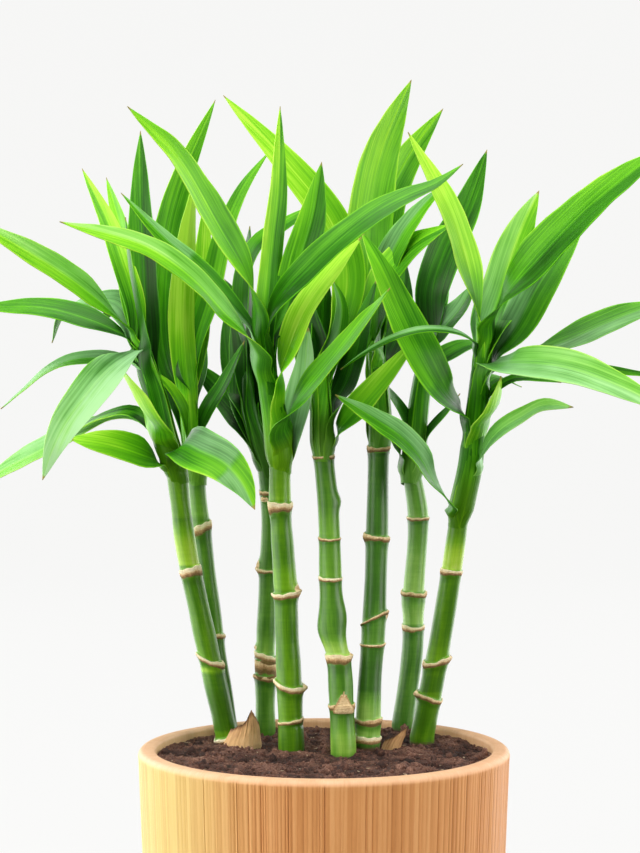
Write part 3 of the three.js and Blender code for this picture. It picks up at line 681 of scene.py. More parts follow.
class Shader:
    """A material's node tree, with short calls for the nodes used here."""

    def __init__(self, name):
        self.material = bpy.data.materials.new(name)
        self.material.use_nodes = True
        self.tree = self.material.node_tree
        self.surface = self.tree.nodes["Principled BSDF"]

    def node(self, kind, inputs, **settings):
        made = self.tree.nodes.new("ShaderNode" + kind)
        for key, value in settings.items():
            setattr(made, key, value)
        for key, value in inputs.items():
            self.put(made.inputs[key], value)
        return made

    def put(self, socket, value):
        if isinstance(value, bpy.types.NodeSocket):
            self.tree.links.new(value, socket)
        else:
            socket.default_value = value

    def attribute(self, name):
        read = self.node("Attribute", {}, attribute_name=name)
        return self.node("SeparateXYZ", {0: read.outputs["Vector"]}).outputs

    def math(self, operation, *values):
        return self.node("Math", dict(enumerate(values)), operation=operation).outputs[0]

    def times(self, first, second):
        return self.math("MULTIPLY", first, second)

    def weighed(self, value):
        """A value, or the product of a value and its weight where the two are written as a pair."""
        return self.times(*value) if isinstance(value, tuple) else value

    def plus(self, first, *others):
        total = self.weighed(first)
        for other in others:
            total = self.math("ADD", total, self.weighed(other))
        return total

    def noise(self, x, y, z, detail=2.0, roughness=0.5, distortion=0.0):
        """Noise from -0.5 to 0.5 at x, y, z, where 1 is about the size of a blotch."""
        place = self.node("CombineXYZ", dict(enumerate(map(self.weighed, (x, y, z)))))
        made = self.node("TexNoise", {
            "Vector": place.outputs[0], "Scale": 1.0, "Detail": detail, "Roughness": roughness,
            "Distortion": distortion,
        })
        return self.math("SUBTRACT", made.outputs["Fac"], 0.5)

    def between(self, value, low, high, to_low=0.0, to_high=1.0):
        inputs = {"Value": value, "From Min": low, "From Max": high, "To Min": to_low, "To Max": to_high}
        return self.node("MapRange", inputs, interpolation_type="SMOOTHSTEP").outputs[0]

    def ramp(self, value, *stops):
        """A colour for the value, from stops of [position, red, green, blue]."""
        made = self.node("ValToRGB", {0: value})
        elements = made.color_ramp.elements
        while len(elements) < len(stops):
            elements.new(1)
        for element, (position, *colour) in zip(elements, stops):
            element.position = position
            element.color = linear(*colour)
        return made.outputs["Color"]

    def mix(self, share, first, second):
        made = self.node("Mix", {0: share, 6: first, 7: second}, data_type="RGBA")
        return made.outputs[2]

    def bump(self, height, strength=1.0):
        """A bump whose height is in millimetres."""
        return self.node("Bump", {"Height": height, "Strength": strength, "Distance": MM}).outputs["Normal"]

    def finish(self, **inputs):
        for key, value in inputs.items():
            self.put(self.surface.inputs[key.replace("_", " ")], value)
        return self.material


def cane_green(s, shade, cool):
    """The green of a cane, from deep to pale, from yellow-green to bluish."""
    warm = s.ramp(
        shade, (0.0, 34, 66, 2), (0.3, 64, 116, 4), (0.55, 104, 158, 14),
        (0.8, 158, 200, 52), (1.0, 198, 218, 112),
    )
    bluish = s.ramp(
        shade, (0.0, 30, 64, 26), (0.3, 56, 106, 38), (0.55, 98, 150, 68),
        (0.8, 146, 190, 112), (1.0, 190, 214, 162),
    )
    return s.mix(cool, warm, bluish)


def leaf_material():
    """Waxy blade: parallel veins, pale margin, painted bluish sheen, a painted glow, a dry tip and a foot as
    green as the cane.
    """
    s = Shader("leaf_green")
    across, along, seed = s.attribute("blade")
    tone, painted_sheen, dry = s.attribute("look")
    side, share, under = s.attribute("part")
    foot, foot_light, cool = s.attribute("foot")
    shift = s.times(seed, 7.3)
    veins = s.noise((across, 2.1), (along, 0.02), shift, detail=3, roughness=0.65)
    stripes = s.noise((across, 0.7), (along, 0.014), shift, detail=1)
    blotches = s.noise((across, 0.09), (along, 0.035), shift, detail=2)
    margin = s.between(s.math("ABSOLUTE", side), 0.88, 1.0)
    midrib = s.between(s.math("ABSOLUTE", across), 0.15, 0.75, 1, 0)
    light = s.plus(
        tone, s.between(share, 0.0, 0.9, -0.09, 0.12), (veins, 0.6), (stripes, 0.32), (blotches, 0.4),
        (margin, 0.3), (midrib, 0.1), (under, 0.08),
    )
    green = s.ramp(
        light, (0.0, 8, 38, 4), (0.22, 24, 78, 8), (0.45, 54, 128, 12),
        (0.68, 98, 178, 24), (0.86, 134, 206, 32), (1.0, 174, 225, 66),
    )
    streaky = s.plus(1.0, (blotches, 1.6), (stripes, 0.9), (veins, 0.8), (under, 0.3))
    # Painted sheen: a streaky bluish-white sheen mixed into the green
    sheen_streaks = s.times(painted_sheen, streaky)
    with_sheen = s.mix(s.times(s.between(sheen_streaks, 0.05, 1.1), 0.85), green, linear(166, 212, 162))
    stem_shade = s.plus(foot_light, (veins, 0.2), (stripes, 0.25), (margin, 0.16))
    rooted = s.mix(foot, with_sheen, cane_green(s, stem_shade, cool))
    withered = s.between(s.plus(dry, (veins, 0.3)), 0.3, 0.8)
    colour = s.mix(withered, rooted, linear(150, 138, 70))
    relief = s.plus((veins, 0.2), (midrib, -0.12), (blotches, 0.15))
    roughness = s.plus(s.between(blotches, -0.3, 0.3, 0.32, 0.46), (veins, 0.12), (withered, 0.3))
    # Painted light: every blade glows a little, and a blade with a sheen below zero glows more, as if lit
    # through
    painted_glow = s.plus(0.03, (s.between(painted_sheen, PAINTED_GLOW_LEVEL, 0.0, 1, 0), 0.2))
    return s.finish(
        Base_Color=colour, Roughness=roughness, Normal=s.bump(relief, 0.6), Specular_IOR_Level=0.24,
        Specular_Tint=linear(232, 255, 212),
        Emission_Color=colour, Emission_Strength=painted_glow,
    )


def cane_material():
    """Smooth green bark with fine streaks, pale zones above the joints, dry papery rings and painted shade
    in the cracks above them.
    """
    s = Shader("cane_green")
    x, y, z = s.attribute("bark")
    light, ring, brown = s.attribute("look")
    cool, crack_shadow, dirt = s.attribute("tint")
    fine = s.noise((x, 1.6), (y, 1.6), (z, 0.05), detail=3, roughness=0.6)
    broad = s.noise((x, 0.35), (y, 0.35), (z, 0.045), detail=2)
    level = s.noise((x, 0.12), (y, 0.12), (z, 0.9), detail=2)
    crumb = s.noise((x, 0.9), (y, 0.9), (z, 2.2), detail=4, roughness=0.7)
    shade = s.plus(light, (fine, 0.25), (broad, 0.4), (level, 0.12))
    green = cane_green(s, shade, cool)
    papery = s.plus(brown, (crumb, 0.7), (fine, 0.4))
    husk = s.ramp(
        papery, (0.0, 255, 244, 208), (0.25, 238, 212, 162), (0.5, 192, 150, 102),
        (0.85, 116, 92, 46),
    )
    ringed = s.between(s.plus(ring, (crumb, 0.5), (fine, 0.25)), 0.3, 0.7)
    dressed = s.mix(ringed, green, husk)
    # Painted shade in the cracks above the rings
    crack_shadowed = s.between(s.plus(crack_shadow, (crumb, 0.7)), 0.35, 0.75)
    crack_shaded = s.mix(crack_shadowed, dressed, linear(62, 46, 26))
    soiled = s.between(s.plus(dirt, (crumb, 0.8)), 0.3, 0.8)
    colour = s.mix(soiled, crack_shaded, linear(84, 58, 44))
    relief = s.plus((fine, 0.07), (s.times(ringed, crumb), 0.7))
    roughness = s.plus(0.34, (broad, 0.15), (ringed, 0.4), (soiled, 0.3))
    return s.finish(Base_Color=colour, Roughness=roughness, Normal=s.bump(relief), Specular_IOR_Level=0.4)


def pot_material():
    """Milled pale wood: slats of slightly different tone, fine upright grain, a smooth cream rim and painted
    light that makes the left side paler straw and the right darker honey.
    """
    s = Shader("pot_wood")
    arc, height, out = s.attribute("grain")
    slat, groove, rim = s.attribute("look")
    # Painted light: 0 on the pot's left, painted paler and yellower as if lit, rising to 1 on its right
    warm = s.attribute("tint")[0]
    grain = s.noise((arc, 2.4), (height, 0.045), out, detail=4, roughness=0.65)
    figure = s.noise((arc, 0.22), (height, 0.012), out, detail=3, distortion=0.4)
    pores = s.noise((arc, 6.5), (height, 0.32), out, detail=2)
    shade = s.plus(slat, (grain, 0.42), (figure, 0.3), (groove, 0.34), (pores, 0.18))
    honey = s.ramp(
        shade, (0.0, 238, 178, 118), (0.35, 220, 154, 94), (0.65, 196, 130, 74),
        (1.0, 140, 88, 46),
    )
    straw = s.ramp(
        shade, (0.0, 228, 204, 126), (0.35, 218, 190, 112), (0.65, 200, 164, 92),
        (1.0, 176, 136, 74),
    )
    slats = s.mix(warm, straw, honey)
    cream = s.ramp(
        s.plus(0.4, (grain, 0.6), (figure, 0.5), (warm, 0.15)),
        (0.0, 236, 202, 170), (0.5, 224, 178, 140), (1.0, 200, 146, 106),
    )
    colour = s.mix(rim, slats, cream)
    relief = s.plus((grain, 0.12), (pores, 0.05))
    roughness = s.plus(0.5, (grain, 0.25), (groove, 0.15))
    return s.finish(Base_Color=colour, Roughness=roughness, Normal=s.bump(relief), Specular_IOR_Level=0.2)


def soil_material():
    """Moist crumbly earth, with pale specks and fibres, and painted shade that darkens its hollows and
    lightens its lumps.
    """
    s = Shader("soil")
    x, y, z = s.attribute("earth")
    fleck, rough = s.attribute("look")[:2]
    grit = s.noise((x, 1.5), (y, 1.5), (z, 1.5), detail=4, roughness=0.75)
    clod = s.noise((x, 0.3), (y, 0.3), (z, 0.3), detail=3)
    speck = s.noise((x, 3.2), (y, 3.2), (z, 3.2), detail=1)
    # Painted shade: lower places are darker and higher lumps lighter
    hollow_shade = s.between(rough, -1.6, 1.6, -0.28, 0.22)
    shade = s.plus(0.4, (grit, 1.3), (clod, 0.8), hollow_shade)
    earth = s.ramp(
        shade, (0.0, 26, 13, 10), (0.35, 72, 42, 32), (0.65, 124, 84, 68),
        (1.0, 188, 148, 126),
    )
    pale = s.mix(s.between(s.plus(fleck, (speck, 0.4)), 0.4, 0.7), earth, linear(196, 172, 140))
    relief = s.plus((grit, 0.8), (speck, 0.25))
    return s.finish(Base_Color=pale, Roughness=s.between(clod, -0.3, 0.3, 0.75, 0.98), Normal=s.bump(relief))


def husk_material():
    """Dry fibrous sheath, tan with dark torn edges."""
    s = Shader("dry_husk")
    x, y, z = s.attribute("bark")
    brown, torn = s.attribute("look")[:2]
    fibre = s.noise((x, 1.6), y, z, detail=4, roughness=0.7)
    blotch = s.noise((x, 0.2), (y, 1.5), z, detail=2)
    shade = s.plus(brown, (fibre, 0.5), (blotch, 0.4), (torn, 0.45))
    colour = s.ramp(
        shade, (0.0, 238, 208, 158), (0.3, 216, 172, 118), (0.6, 170, 124, 80),
        (1.0, 66, 46, 30),
    )
    return s.finish(Base_Color=colour, Roughness=0.8, Normal=s.bump(s.times(fibre, 0.7)))


# Pot

def slat_profile():
    """Columns round the pot: angle from the front, depth of the groove there (0 to 1), tone of the slat."""
    chance = random.Random(11)
    widths = np.array([chance.uniform(*SLAT_WIDTHS) for _ in range(SLAT_COUNT)])
    edges = np.concatenate([[0], np.cumsum(widths)]) / widths.sum() * math.tau - math.pi
    angles, depths, tones = [], [], []
    for index in range(SLAT_COUNT):
        deep = chance.uniform(0.2, 1.0) ** 1.5
        tone = chance.uniform(*SLAT_TONES)
        for sample in range(SLAT_SAMPLES):
            share = sample / SLAT_SAMPLES
            angles.append(lerp(edges[index], edges[index + 1], share))
            depths.append(deep * (1 - math.sin(math.pi * share) ** 0.45))
            tones.append(tone)
    return np.array(angles), np.array(depths), np.array(tones)


def make_pot(material):
    angles, depths, tones = slat_profile()
    slope = (POT_RIM_RADIUS - POT_BASE_RADIUS) / POT_HEIGHT
    inner = POT_RIM_RADIUS - POT_WALL
    outline = [(END_RADIUS, 0), (POT_BASE_MIDDLE, 0), (POT_BASE_RADIUS - FOOT_CHAMFER, 0)]
    outline.append((POT_BASE_RADIUS, FOOT_CHAMFER))
    outline += [(POT_BASE_RADIUS + slope * height, height) for height in POT_ROWS]
    for angle in np.radians(range(0, 91, 9)):
        outline.append((POT_RIM_RADIUS - RIM_ROUND * (1 - math.cos(angle)),
                        POT_HEIGHT - RIM_ROUND * (1 - math.sin(angle))))
    outline.append((POT_RIM_RADIUS - POT_WALL / 2, POT_HEIGHT))
    for angle in np.radians((0, 30, 60, 90)):
        outline.append((inner + RIM_INNER_ROUND * (1 - math.sin(angle)),
                        POT_HEIGHT - RIM_INNER_ROUND * (1 - math.cos(angle))))
    outline.append((inner - 0.5, INNER_WALL_TOP))
    outline += [(POT_BASE_RADIUS - POT_WALL, POT_FLOOR), (END_RADIUS, POT_FLOOR)]
    radii, levels = np.array(outline).T[..., None]
    outer = radii >= POT_BASE_RADIUS - RIM_ROUND
    top = smoothstep(levels, SLAT_TOP - SLAT_FADE, SLAT_TOP)
    ribbed = smoothstep(levels, SLAT_BOTTOM - 1.5, SLAT_BOTTOM + 0.5) * (1 - top) * outer
    smooth_side = lerp(0.35, 1, smoothstep(radii * np.sin(angles), *RIBS_DEEPEN))
    grooves = ribbed * depths * smooth_side
    reach = radii - grooves * SLAT_DEPTH
    across = reach * np.sin(angles)
    skin = Skin("grain", "look", "tint")
    skin.add(
        rows(across, -reach * np.cos(angles), levels), tube_faces(len(outline), len(angles)),
        grain=(angles * POT_RIM_RADIUS, levels, radii * 0.2),
        look=(tones * (0.35 + 0.65 * ribbed), grooves, np.maximum(top, ~outer * (levels > 20))),
        tint=(smoothstep(across, *PAINTED_LIGHT_FADES), 0, 0),
    )
    return skin.build("wooden_pot", material, sharp_angle=70)


# Soil

MOUNDS = [(*place(plant["cane"][0])[:2], plant.get("mound", 0)) for plant in PLANTS]


def soil_height(x, y, radius, edge):
    """The height of the soil at a place, and how far its lumps stand above the smooth bed there."""
    share = radius / edge
    point = Vector((x, y, 0))
    swells = noise.fractal(point / SWELL_SIZE + Vector((2, 7, 0)), 1.0, 2.0, 2)
    lumps = noise.ridged_multi_fractal(point / LUMP_SIZE + Vector((9, 3, 0)), 0.9, 2.2, 4, 1.0, 2.0)
    grit = noise.noise(point / GRIT_SIZE) + 0.6 * noise.noise(2 * point / GRIT_SIZE)
    level = SOIL_EDGE_HEIGHT - SOIL_DISH * (1 - share**2)
    for foot_x, foot_y, rise in MOUNDS:
        level += rise * math.exp(-((x - foot_x) ** 2 + (y - foot_y) ** 2) / MOUND_REACH**2)
    rough = SWELL_RISE * swells + LUMP_RISE * (lumps - 1.1) + GRIT_RISE * grit
    return level + rough, rough


def make_soil(material):
    slope = (POT_RIM_RADIUS - POT_BASE_RADIUS) / (POT_HEIGHT - POT_FLOOR)
    wall_foot = POT_BASE_RADIUS - POT_WALL - SOIL_GAP
    edge = wall_foot + slope * (SOIL_EDGE_HEIGHT - POT_FLOOR)
    base = POT_FLOOR + SOIL_GAP
    sides = [(END_RADIUS, base), (wall_foot, base), (edge, SOIL_EDGE_HEIGHT - 3)]
    surface = [(edge * (1 - ring / SOIL_RINGS) ** 0.8, None) for ring in range(SOIL_RINGS)]
    points = []
    roughs = []
    for radius, height in sides + surface:
        for angle in full_turn(SOIL_COLUMNS):
            x, y = radius * math.cos(angle), radius * math.sin(angle)
            level, rough = soil_height(x, y, radius, edge) if height is None else (height, 0)
            points.append((x, y, level))
            roughs.append(rough)
    skin = Skin("earth", "look")
    points = np.array(points)
    faces = tube_faces(len(sides + surface), SOIL_COLUMNS)
    skin.add(points, faces, earth=points, look=(0, np.array(roughs), 0))
    add_crumbs(skin, edge)
    return skin.build("soil_bed", material, sharp_angle=180)


def ball_form(subdivisions):
    ball = bmesh.new()
    bmesh.ops.create_icosphere(ball, subdivisions=subdivisions, radius=1)
    form = np.array([vertex.co[:] for vertex in ball.verts])
    faces = [tuple(vertex.index for vertex in face.verts) for face in ball.faces]
    ball.free()
    return form, faces


def add_crumbs(skin, edge):
    """Loose crumbs, a few larger clods and pale chips lying on the soil."""
    chance = random.Random(5)
    coarse, fine = ball_form(1), ball_form(2)
    kinds = ["crumb"] * CRUMB_COUNT + ["clod"] * CLOD_COUNT + ["chip"] * CHIP_COUNT
    for index, kind in enumerate(kinds):
        form, faces = fine if kind == "clod" else coarse
        radius = (edge - 2.2) * math.sqrt(chance.random())
        angle = chance.uniform(0, math.tau)
        x, y = radius * math.cos(angle), radius * math.sin(angle)
        size = lerp(*CRUMB_SIZES, chance.random() ** 2)
        if kind == "clod":
            size = lerp(*CLOD_SIZES, chance.random() ** 2)
        scale = np.array([chance.uniform(0.65, 1.35) for _ in range(3)]) * size
        if kind == "chip":
            scale = np.array([chance.uniform(*CHIP_LENGTHS), chance.uniform(*CHIP_WIDTHS), CHIP_THICK])
        turn = chance.uniform(0, math.pi)
        shift = Vector((index, 0, 0))
        dents = np.array([1 + 0.7 * noise.noise(Vector(point) * 1.4 + shift) for point in form])
        lump = form * dents[:, None] * scale
        turned = lump.copy()
        turned[:, 0] = lump[:, 0] * math.cos(turn) - lump[:, 1] * math.sin(turn)
        turned[:, 1] = lump[:, 0] * math.sin(turn) + lump[:, 1] * math.cos(turn)
        ground, rough = soil_height(x, y, radius, edge)
        points = turned + np.array((x, y, ground + scale[2] * (0.1 if kind == "clod" else 0.3)))
        fleck = chance.uniform(0.5, 1.0) if kind == "chip" else chance.uniform(-0.4, 0.25)
        # Each crumb's painted shade is varied at random, mostly towards the light side, as it lies on top
        rough += chance.uniform(-0.6, 1.2)
        skin.add(points, faces, earth=points + index * 3.1, look=(fleck, rough, 0))


# Canes

def cane_rows(bottom, top, ring_heights):
    """Heights of the rows: even along the cane and close together over each ring."""
    heights = {CANE_FOOT, bottom - 4, top - 0.4, top}
    heights.update(np.arange(bottom, top - 0.5, CANE_ROW))
    for centre in ring_heights:
        heights.update(np.arange(centre - RING_REACH, min(centre + RING_REACH, top - 0.5), RING_ROW))
    ordered = sorted(heights)
    kept = [ordered[0]]
    for height in ordered[1:]:
        if height - kept[-1] > RING_ROW * 0.6 or height == top:
            kept.append(height)
    return np.array(kept)


class Bark:
    """The skin of a cane as a grid of heights and angles: the radius there, its lightness and its marks."""

    def __init__(self, heights, radius):
        self.heights, self.angles = heights, full_turn(CANE_COLUMNS)
        self.radius = radius + 0 * self.angles
        self.light = np.full(self.radius.shape, CANE_LIGHT)
        self.ring, self.brown, self.crack_shadow = np.zeros((3, *self.radius.shape))

    def add_zone(self, low, high, lighter):
        """A stretch that is paler or darker, with a sharp lower end and a soft upper one."""
        soft = 0.3 * (high - low)
        begun = smoothstep(self.heights, low - 1, low + 0.6)
        ended = smoothstep(self.heights, high - 2 * soft, high + soft)
        self.light = self.light + 0.5 * lighter * begun * (1 - ended)

    def add_ring(self, chance, middle, half, flare, right, rear, shade):
        """A papery ring that swells upwards, ends in a ragged dark lip and leaves cracks above it, darkened
        with painted shade; a band just below the ring is painted darker as shade.
        """
        angles = self.angles
        waves = round_waves(chance, [(0.05 * half + 0.04, turns) for turns in RING_WAVES])
        level = middle + right * np.cos(angles) + rear * np.sin(angles) + wander(angles, waves)
        thick = half * (0.85 + wander(angles, round_waves(chance, RING_SWELLING)))
        ragged = 0.85 + wander(angles, round_waves(chance, RING_RAGS))
        over = self.heights - level
        above = over - thick
        share = over / thick
        foot = RING_FOOT * np.exp(np.minimum(over + thick, 0) / RING_FOOT_FADE) * (share < -1)
        band = lerp(RING_FOOT, 1, smoothstep(share, -1, 0.35)) * (np.abs(share) <= 1)
        neck = np.exp(-np.maximum(above, 0) / RING_NECK_FADE) * (share > 1)
        folds = 0.06 * np.sin(math.tau * over / 1.1 + 2 * np.sin(angles * 2)) * (np.abs(share) < 1)
        self.radius = self.radius + RING_OUT * flare * ragged * (foot + band + neck) + folds
        inside = smoothstep(share, -1.3, 0.0) * (1 - smoothstep(above, -0.05, 0.3))
        self.ring = np.maximum(self.ring, inside)
        lip = 0.5 * shade + 0.8 * smoothstep(-share, -0.75, 0.7)
        self.brown = np.where(inside > 0.05, np.maximum(self.brown, lip), self.brown)
        # Painted shade: the cracks just above the lip are darkened
        gaps = smoothstep(np.sin(angles * 2 + chance.uniform(0, 6)), 0.1, 0.9)
        self.crack_shadow = np.maximum(self.crack_shadow, gaps * gaussian(above - 0.3, 0.25) * 0.6)
        self.light = self.light + 0.12 * np.exp(-np.maximum(above, 0) / 5) * (over > 0)
        # Painted shade: a darker band just below the ring
        self.light = self.light - 0.1 * gaussian(share + 1.6, 0.8)

    def add_bump(self, height, angle, out, half, spread, scar):
        """A low knob, or a hollow where out is below zero. A scar has a tan patch on it."""
        off = turn_from(self.angles, math.radians(angle))
        knob = gaussian(self.heights - height, half) * gaussian(off, math.radians(spread))
        self.radius = self.radius + out * knob
        if scar:
            self.ring = np.maximum(self.ring, smoothstep(knob, 0.25, 0.6))
            self.brown = np.maximum(self.brown, 0.45 * knob)

    def add_bud(self, low, high, angle, spread):
        """A dry three-cornered scale that lies on the cane with its point up."""
        off = np.abs(turn_from(self.angles, math.radians(angle)))
        up = (self.heights - low) / (high - low)
        room = math.radians(spread) * (1 - np.clip(up, 0, 1)) ** 0.8 - off
        scale = smoothstep(room, -0.06, 0.22) * smoothstep(up, -0.15, 0.02) * (up < 1)
        self.radius = self.radius + BUD_OUT * scale
        self.ring = np.maximum(self.ring, smoothstep(scale, 0.1, 0.4))
        self.brown = np.where(scale > 0.1, 0.3 + 0.45 * (1 - smoothstep(room, 0.0, 0.3)), self.brown)


def make_cane(index, plant, material):
    curve = Curve([place(point) for point in plant["cane"]])
    chance = random.Random(100 + index)
    bottom, top = curve.samples[[0, -1], 2]
    rings = [(true_height(curve, up), *rest) for up, *rest in plant["rings"]]
    heights = cane_rows(bottom, top, [ring[0] for ring in rings])[:, None]
    uneven = [wave(chance, chance.uniform(0.03, 0.1), chance.uniform(18, 50)) for _ in range(3)]
    radius = lerp(*plant["radii"], np.clip((heights - bottom) / (top - bottom), 0, 1))
    bark = Bark(heights, radius + wander(heights, uneven))
    for low, high, lighter in plant["zones"]:
        bark.add_zone(true_height(curve, low), true_height(curve, high), lighter)
    for ring in rings:
        bark.add_ring(chance, *ring)
    for up, *rest in plant["bumps"]:
        bark.add_bump(true_height(curve, up), *rest)
    for low, high, *rest in plant.get("buds", []):
        bark.add_bud(true_height(curve, low), true_height(curve, high), *rest)
    x, y = bark.radius * np.cos(bark.angles), bark.radius * np.sin(bark.angles)
    dirt = 1 - smoothstep(heights - bottom, -5, 0.5)
    skin = Skin("bark", "look", "tint")
    skin.add(
        round_line(curve.at_height(heights), bark.radius, bark.angles, heights), tube_faces(*x.shape),
        bark=(x, y, heights + 40 * index), look=(bark.light, bark.ring, bark.brown),
        tint=(plant["cool"], bark.crack_shadow, dirt),
    )
    return skin.build(f"cane_{index}_bark", material, sharp_angle=60)


# Shoots

def blade_width(shares, width, stalk, root_share):
    """The width of a blade along its length: narrow at the root, widest at WIDEST_AT, pointed at the tip."""
    shares = (shares - stalk) / (1 - stalk)
    rise = lerp(width * root_share, width, np.sin(np.clip(shares / WIDEST_AT, 0, 1) * math.pi / 2) ** 1.4)
    fall = np.clip((shares - WIDEST_AT) / (1 - WIDEST_AT), 0, 1)
    return np.where(shares < WIDEST_AT, rise, np.maximum(width * (1 - fall**2) ** 0.95, TIP_WIDTH))


def leaf_rows(stem, curve, bottom):
    """The rows of a leaf, first up the stem in the sheath and then out along the blade.

    For each row: how far out it is from the blade's first point, its centre and its direction.
    """
    low = curve.samples[0, 2]
    below = max(low - bottom - 0.2, 0)
    low_heights = low - np.linspace(below, 0, int(below / LEAF_ROW) + 1, endpoint=False)
    low_heights = low_heights if below else low_heights[:0]
    spans = int(np.clip(curve.length / LEAF_ROW, LEAF_LEAST_ROWS, LEAF_MOST_ROWS))
    line = np.linspace(0, 1, spans + 1)
    line = line - LEAF_CROWDING * np.sin(math.tau * line) / math.tau
    reach = np.concatenate([low_heights - low, line * curve.length])
    centre = np.vstack([stem["curve"].at_height(low_heights), curve.at_share(line)])
    low_slopes = np.repeat(curve.slope_at(np.zeros(1)), len(low_heights), axis=0)
    return reach, centre, np.vstack([low_slopes, curve.slope_at(line)])


def leaf_sides(curve, along, outward, turns):
    """The way across each row and the way out of its upper face, turned to show that face to the front."""
    level = np.cross(outward, (0, 0, 1))
    side = unit(level - (along @ level)[:, None] * along)
    face = np.cross(side, along)
    half_way = curve.slope_at(np.array([0.5]))[0]
    half_side = unit(level - (half_way @ level) * half_way)
    sense = 1 if np.cross(half_way, np.cross(half_side, half_way))[1] < 0 else -1
    angle = sense * turns[:, None]
    return side * np.cos(angle) - face * np.sin(angle), face * np.cos(angle) + side * np.sin(angle)


def leaf_channel(x, spread, bend, opened):
    """Across and lift of a cross section: an arc on the stem, then a channel with a soft fold."""
    swing = x * (spread / bend)[:, None] / 2
    across = bend[:, None] * np.sin(swing)
    arc = bend[:, None] * (1 - np.cos(swing))
    fold = arc[:, -1:] * np.abs(x) ** 1.4
    return across, lerp(arc, fold, 0.6 * opened[:, None])


def add_leaf(skin, stem, leaf, stagger, layer, seed):
    """A blade that clasps the stem, opens to a shallow channel and tapers to its tip."""
    height, width, turn, first, second, *points = leaf
    width, stalk = width if isinstance(width, tuple) else (width, 0)
    chance = random.Random(seed)
    bottom = stem["curve"].samples[0, 2]
    start = max(true_height(stem["curve"], height), bottom + 6) - stagger
    root_low = stem["curve"].at_height(max(start - SHEATH_LENGTH, bottom + 1.5 + stagger / 4))
    root = stem["curve"].at_height(start)
    curve = Curve([root_low, root, *(place(point) for point in points)])
    outward = unit((curve.samples[-1] - root) * (1, 1, 0))
    reach, centre, along = leaf_rows(stem, curve, bottom)
    shares = np.clip(reach / curve.length, 0, 1)
    side, face = leaf_sides(curve, along, outward, math.radians(turn) * smoothstep(shares, *TURN_BEGINS))

    # The sheath lies on the stem, and the blade leaves it
    sheath = np.linalg.norm(root - root_low)
    hem_room = smoothstep(root[2] - centre[0, 2], 3, 14)
    from_hem = reach - reach[0]
    around = np.interp(centre[:, 2], stem["heights"], stem["radii"]) + 0.05
    around = around + SHEATH_LAYER * (1 + layer) * smoothstep(from_hem, 0, 9)
    axis = stem["curve"].at_height(centre[:, 2])
    off_axis = np.linalg.norm((centre - axis)[:, :2], axis=1)
    leaving = smoothstep(reach, sheath, sheath + 0.35 * curve.length)
    pushed = around * (1 - smoothstep(off_axis / around, 0, 2.0)) * (1 - leaving)
    centre = centre + outward * pushed[:, None]

    # Cross sections
    wrap = lerp(SHEATH_SHORT, np.clip(1.2 * width / around, SHEATH_LEAST, SHEATH_MOST), hem_room)
    opened = smoothstep(reach, sheath * 0.4, sheath + 0.24 * curve.length)
    spread = blade_width(shares, width, stalk, lerp(ROOT_LEAST, ROOT_SHARE, hem_room * (stalk == 0)))
    spread = spread * (1 + wander(reach, [wave(chance, 0.015, chance.uniform(30, 60))]))
    spread = lerp(around * wrap, spread, smoothstep(reach, -4, sheath + 0.1 * curve.length))
    bend = lerp(around, np.maximum(width / math.radians(CHANNEL_ANGLE), around), opened)
    columns = WIDE_COLUMNS if width > WIDE_LEAF else NARROW_COLUMNS
    x = np.linspace(-1, 1, columns)
    across, lift = leaf_channel(x, spread, bend, opened)
    open_part = smoothstep(shares, *RIPPLES_BEGIN) * (1 - smoothstep(shares, *RIPPLES_END))
    for sign in (-1, 1):
        waves = [wave(chance, high * width, chance.uniform(*lengths)) for high, *lengths in LEAF_RIPPLES]
        lift = lift + (wander(reach, waves) * open_part)[:, None] * np.clip(sign * x, 0, 1) ** 2
    middle = centre[:, None, :] + side[:, None, :] * across[..., None] + face[:, None, :] * lift[..., None]
    normal = unit(np.cross(np.gradient(middle, axis=1), np.gradient(middle, axis=0)))
    thick = lerp(BLADE_MIDDLE, BLADE_EDGE, np.abs(x) ** 3)[..., None] / 2
    thick = thick * lerp(1, TIP_THIN, smoothstep(shares, 0.8, 1))[:, None, None]

    # Colours
    # Painted light and shade: the half that leans left or up takes the first tone, the other half the second
    lean = np.sign(side[:, 0] - side[:, 2])[:, None] * x
    blend = smoothstep(lean, -0.25, 0.25)
    tone, painted_sheen = (lerp(here, there, blend) for here, there in zip(TONES[first], TONES[second]))
    near_root = (1 - smoothstep(reach, 0, sheath + 5))[:, None]
    tone = lerp(tone, lerp(tone, stem["tone"], 0.6), near_root)
    # Painted shade: the blade is darker just beyond its sheath, near the crowded stem
    shaded = smoothstep(reach, sheath, sheath + 8) * (1 - smoothstep(reach, sheath + 8, sheath + 40))
    tone = tone - ROOT_SHADE * shaded[:, None] * tone
    painted_sheen = painted_sheen * (1 - near_root)
    above = centre[:, 2] - bottom - stem["below"]
    in_foot = (1 - smoothstep(above, *FOOT_FADE)) * (1 - smoothstep(reach, sheath, sheath + 9))
    withered = 1 - smoothstep(curve.length - reach, 0, DRY_TIP)
    part = on_both(x, shares[:, None], 0)
    part[len(part) // 2:, 2] = 1
    skin.add(
        np.stack([middle + normal * thick, middle - normal * thick]), sheet_faces(len(reach), columns),
        blade=on_both(x * spread[:, None] / 2, reach[:, None], seed % 50),
        look=on_both(tone, painted_sheen, withered[:, None]), part=part,
        foot=on_both(np.repeat(in_foot, columns), stem["light"], stem["cool"]),
    )


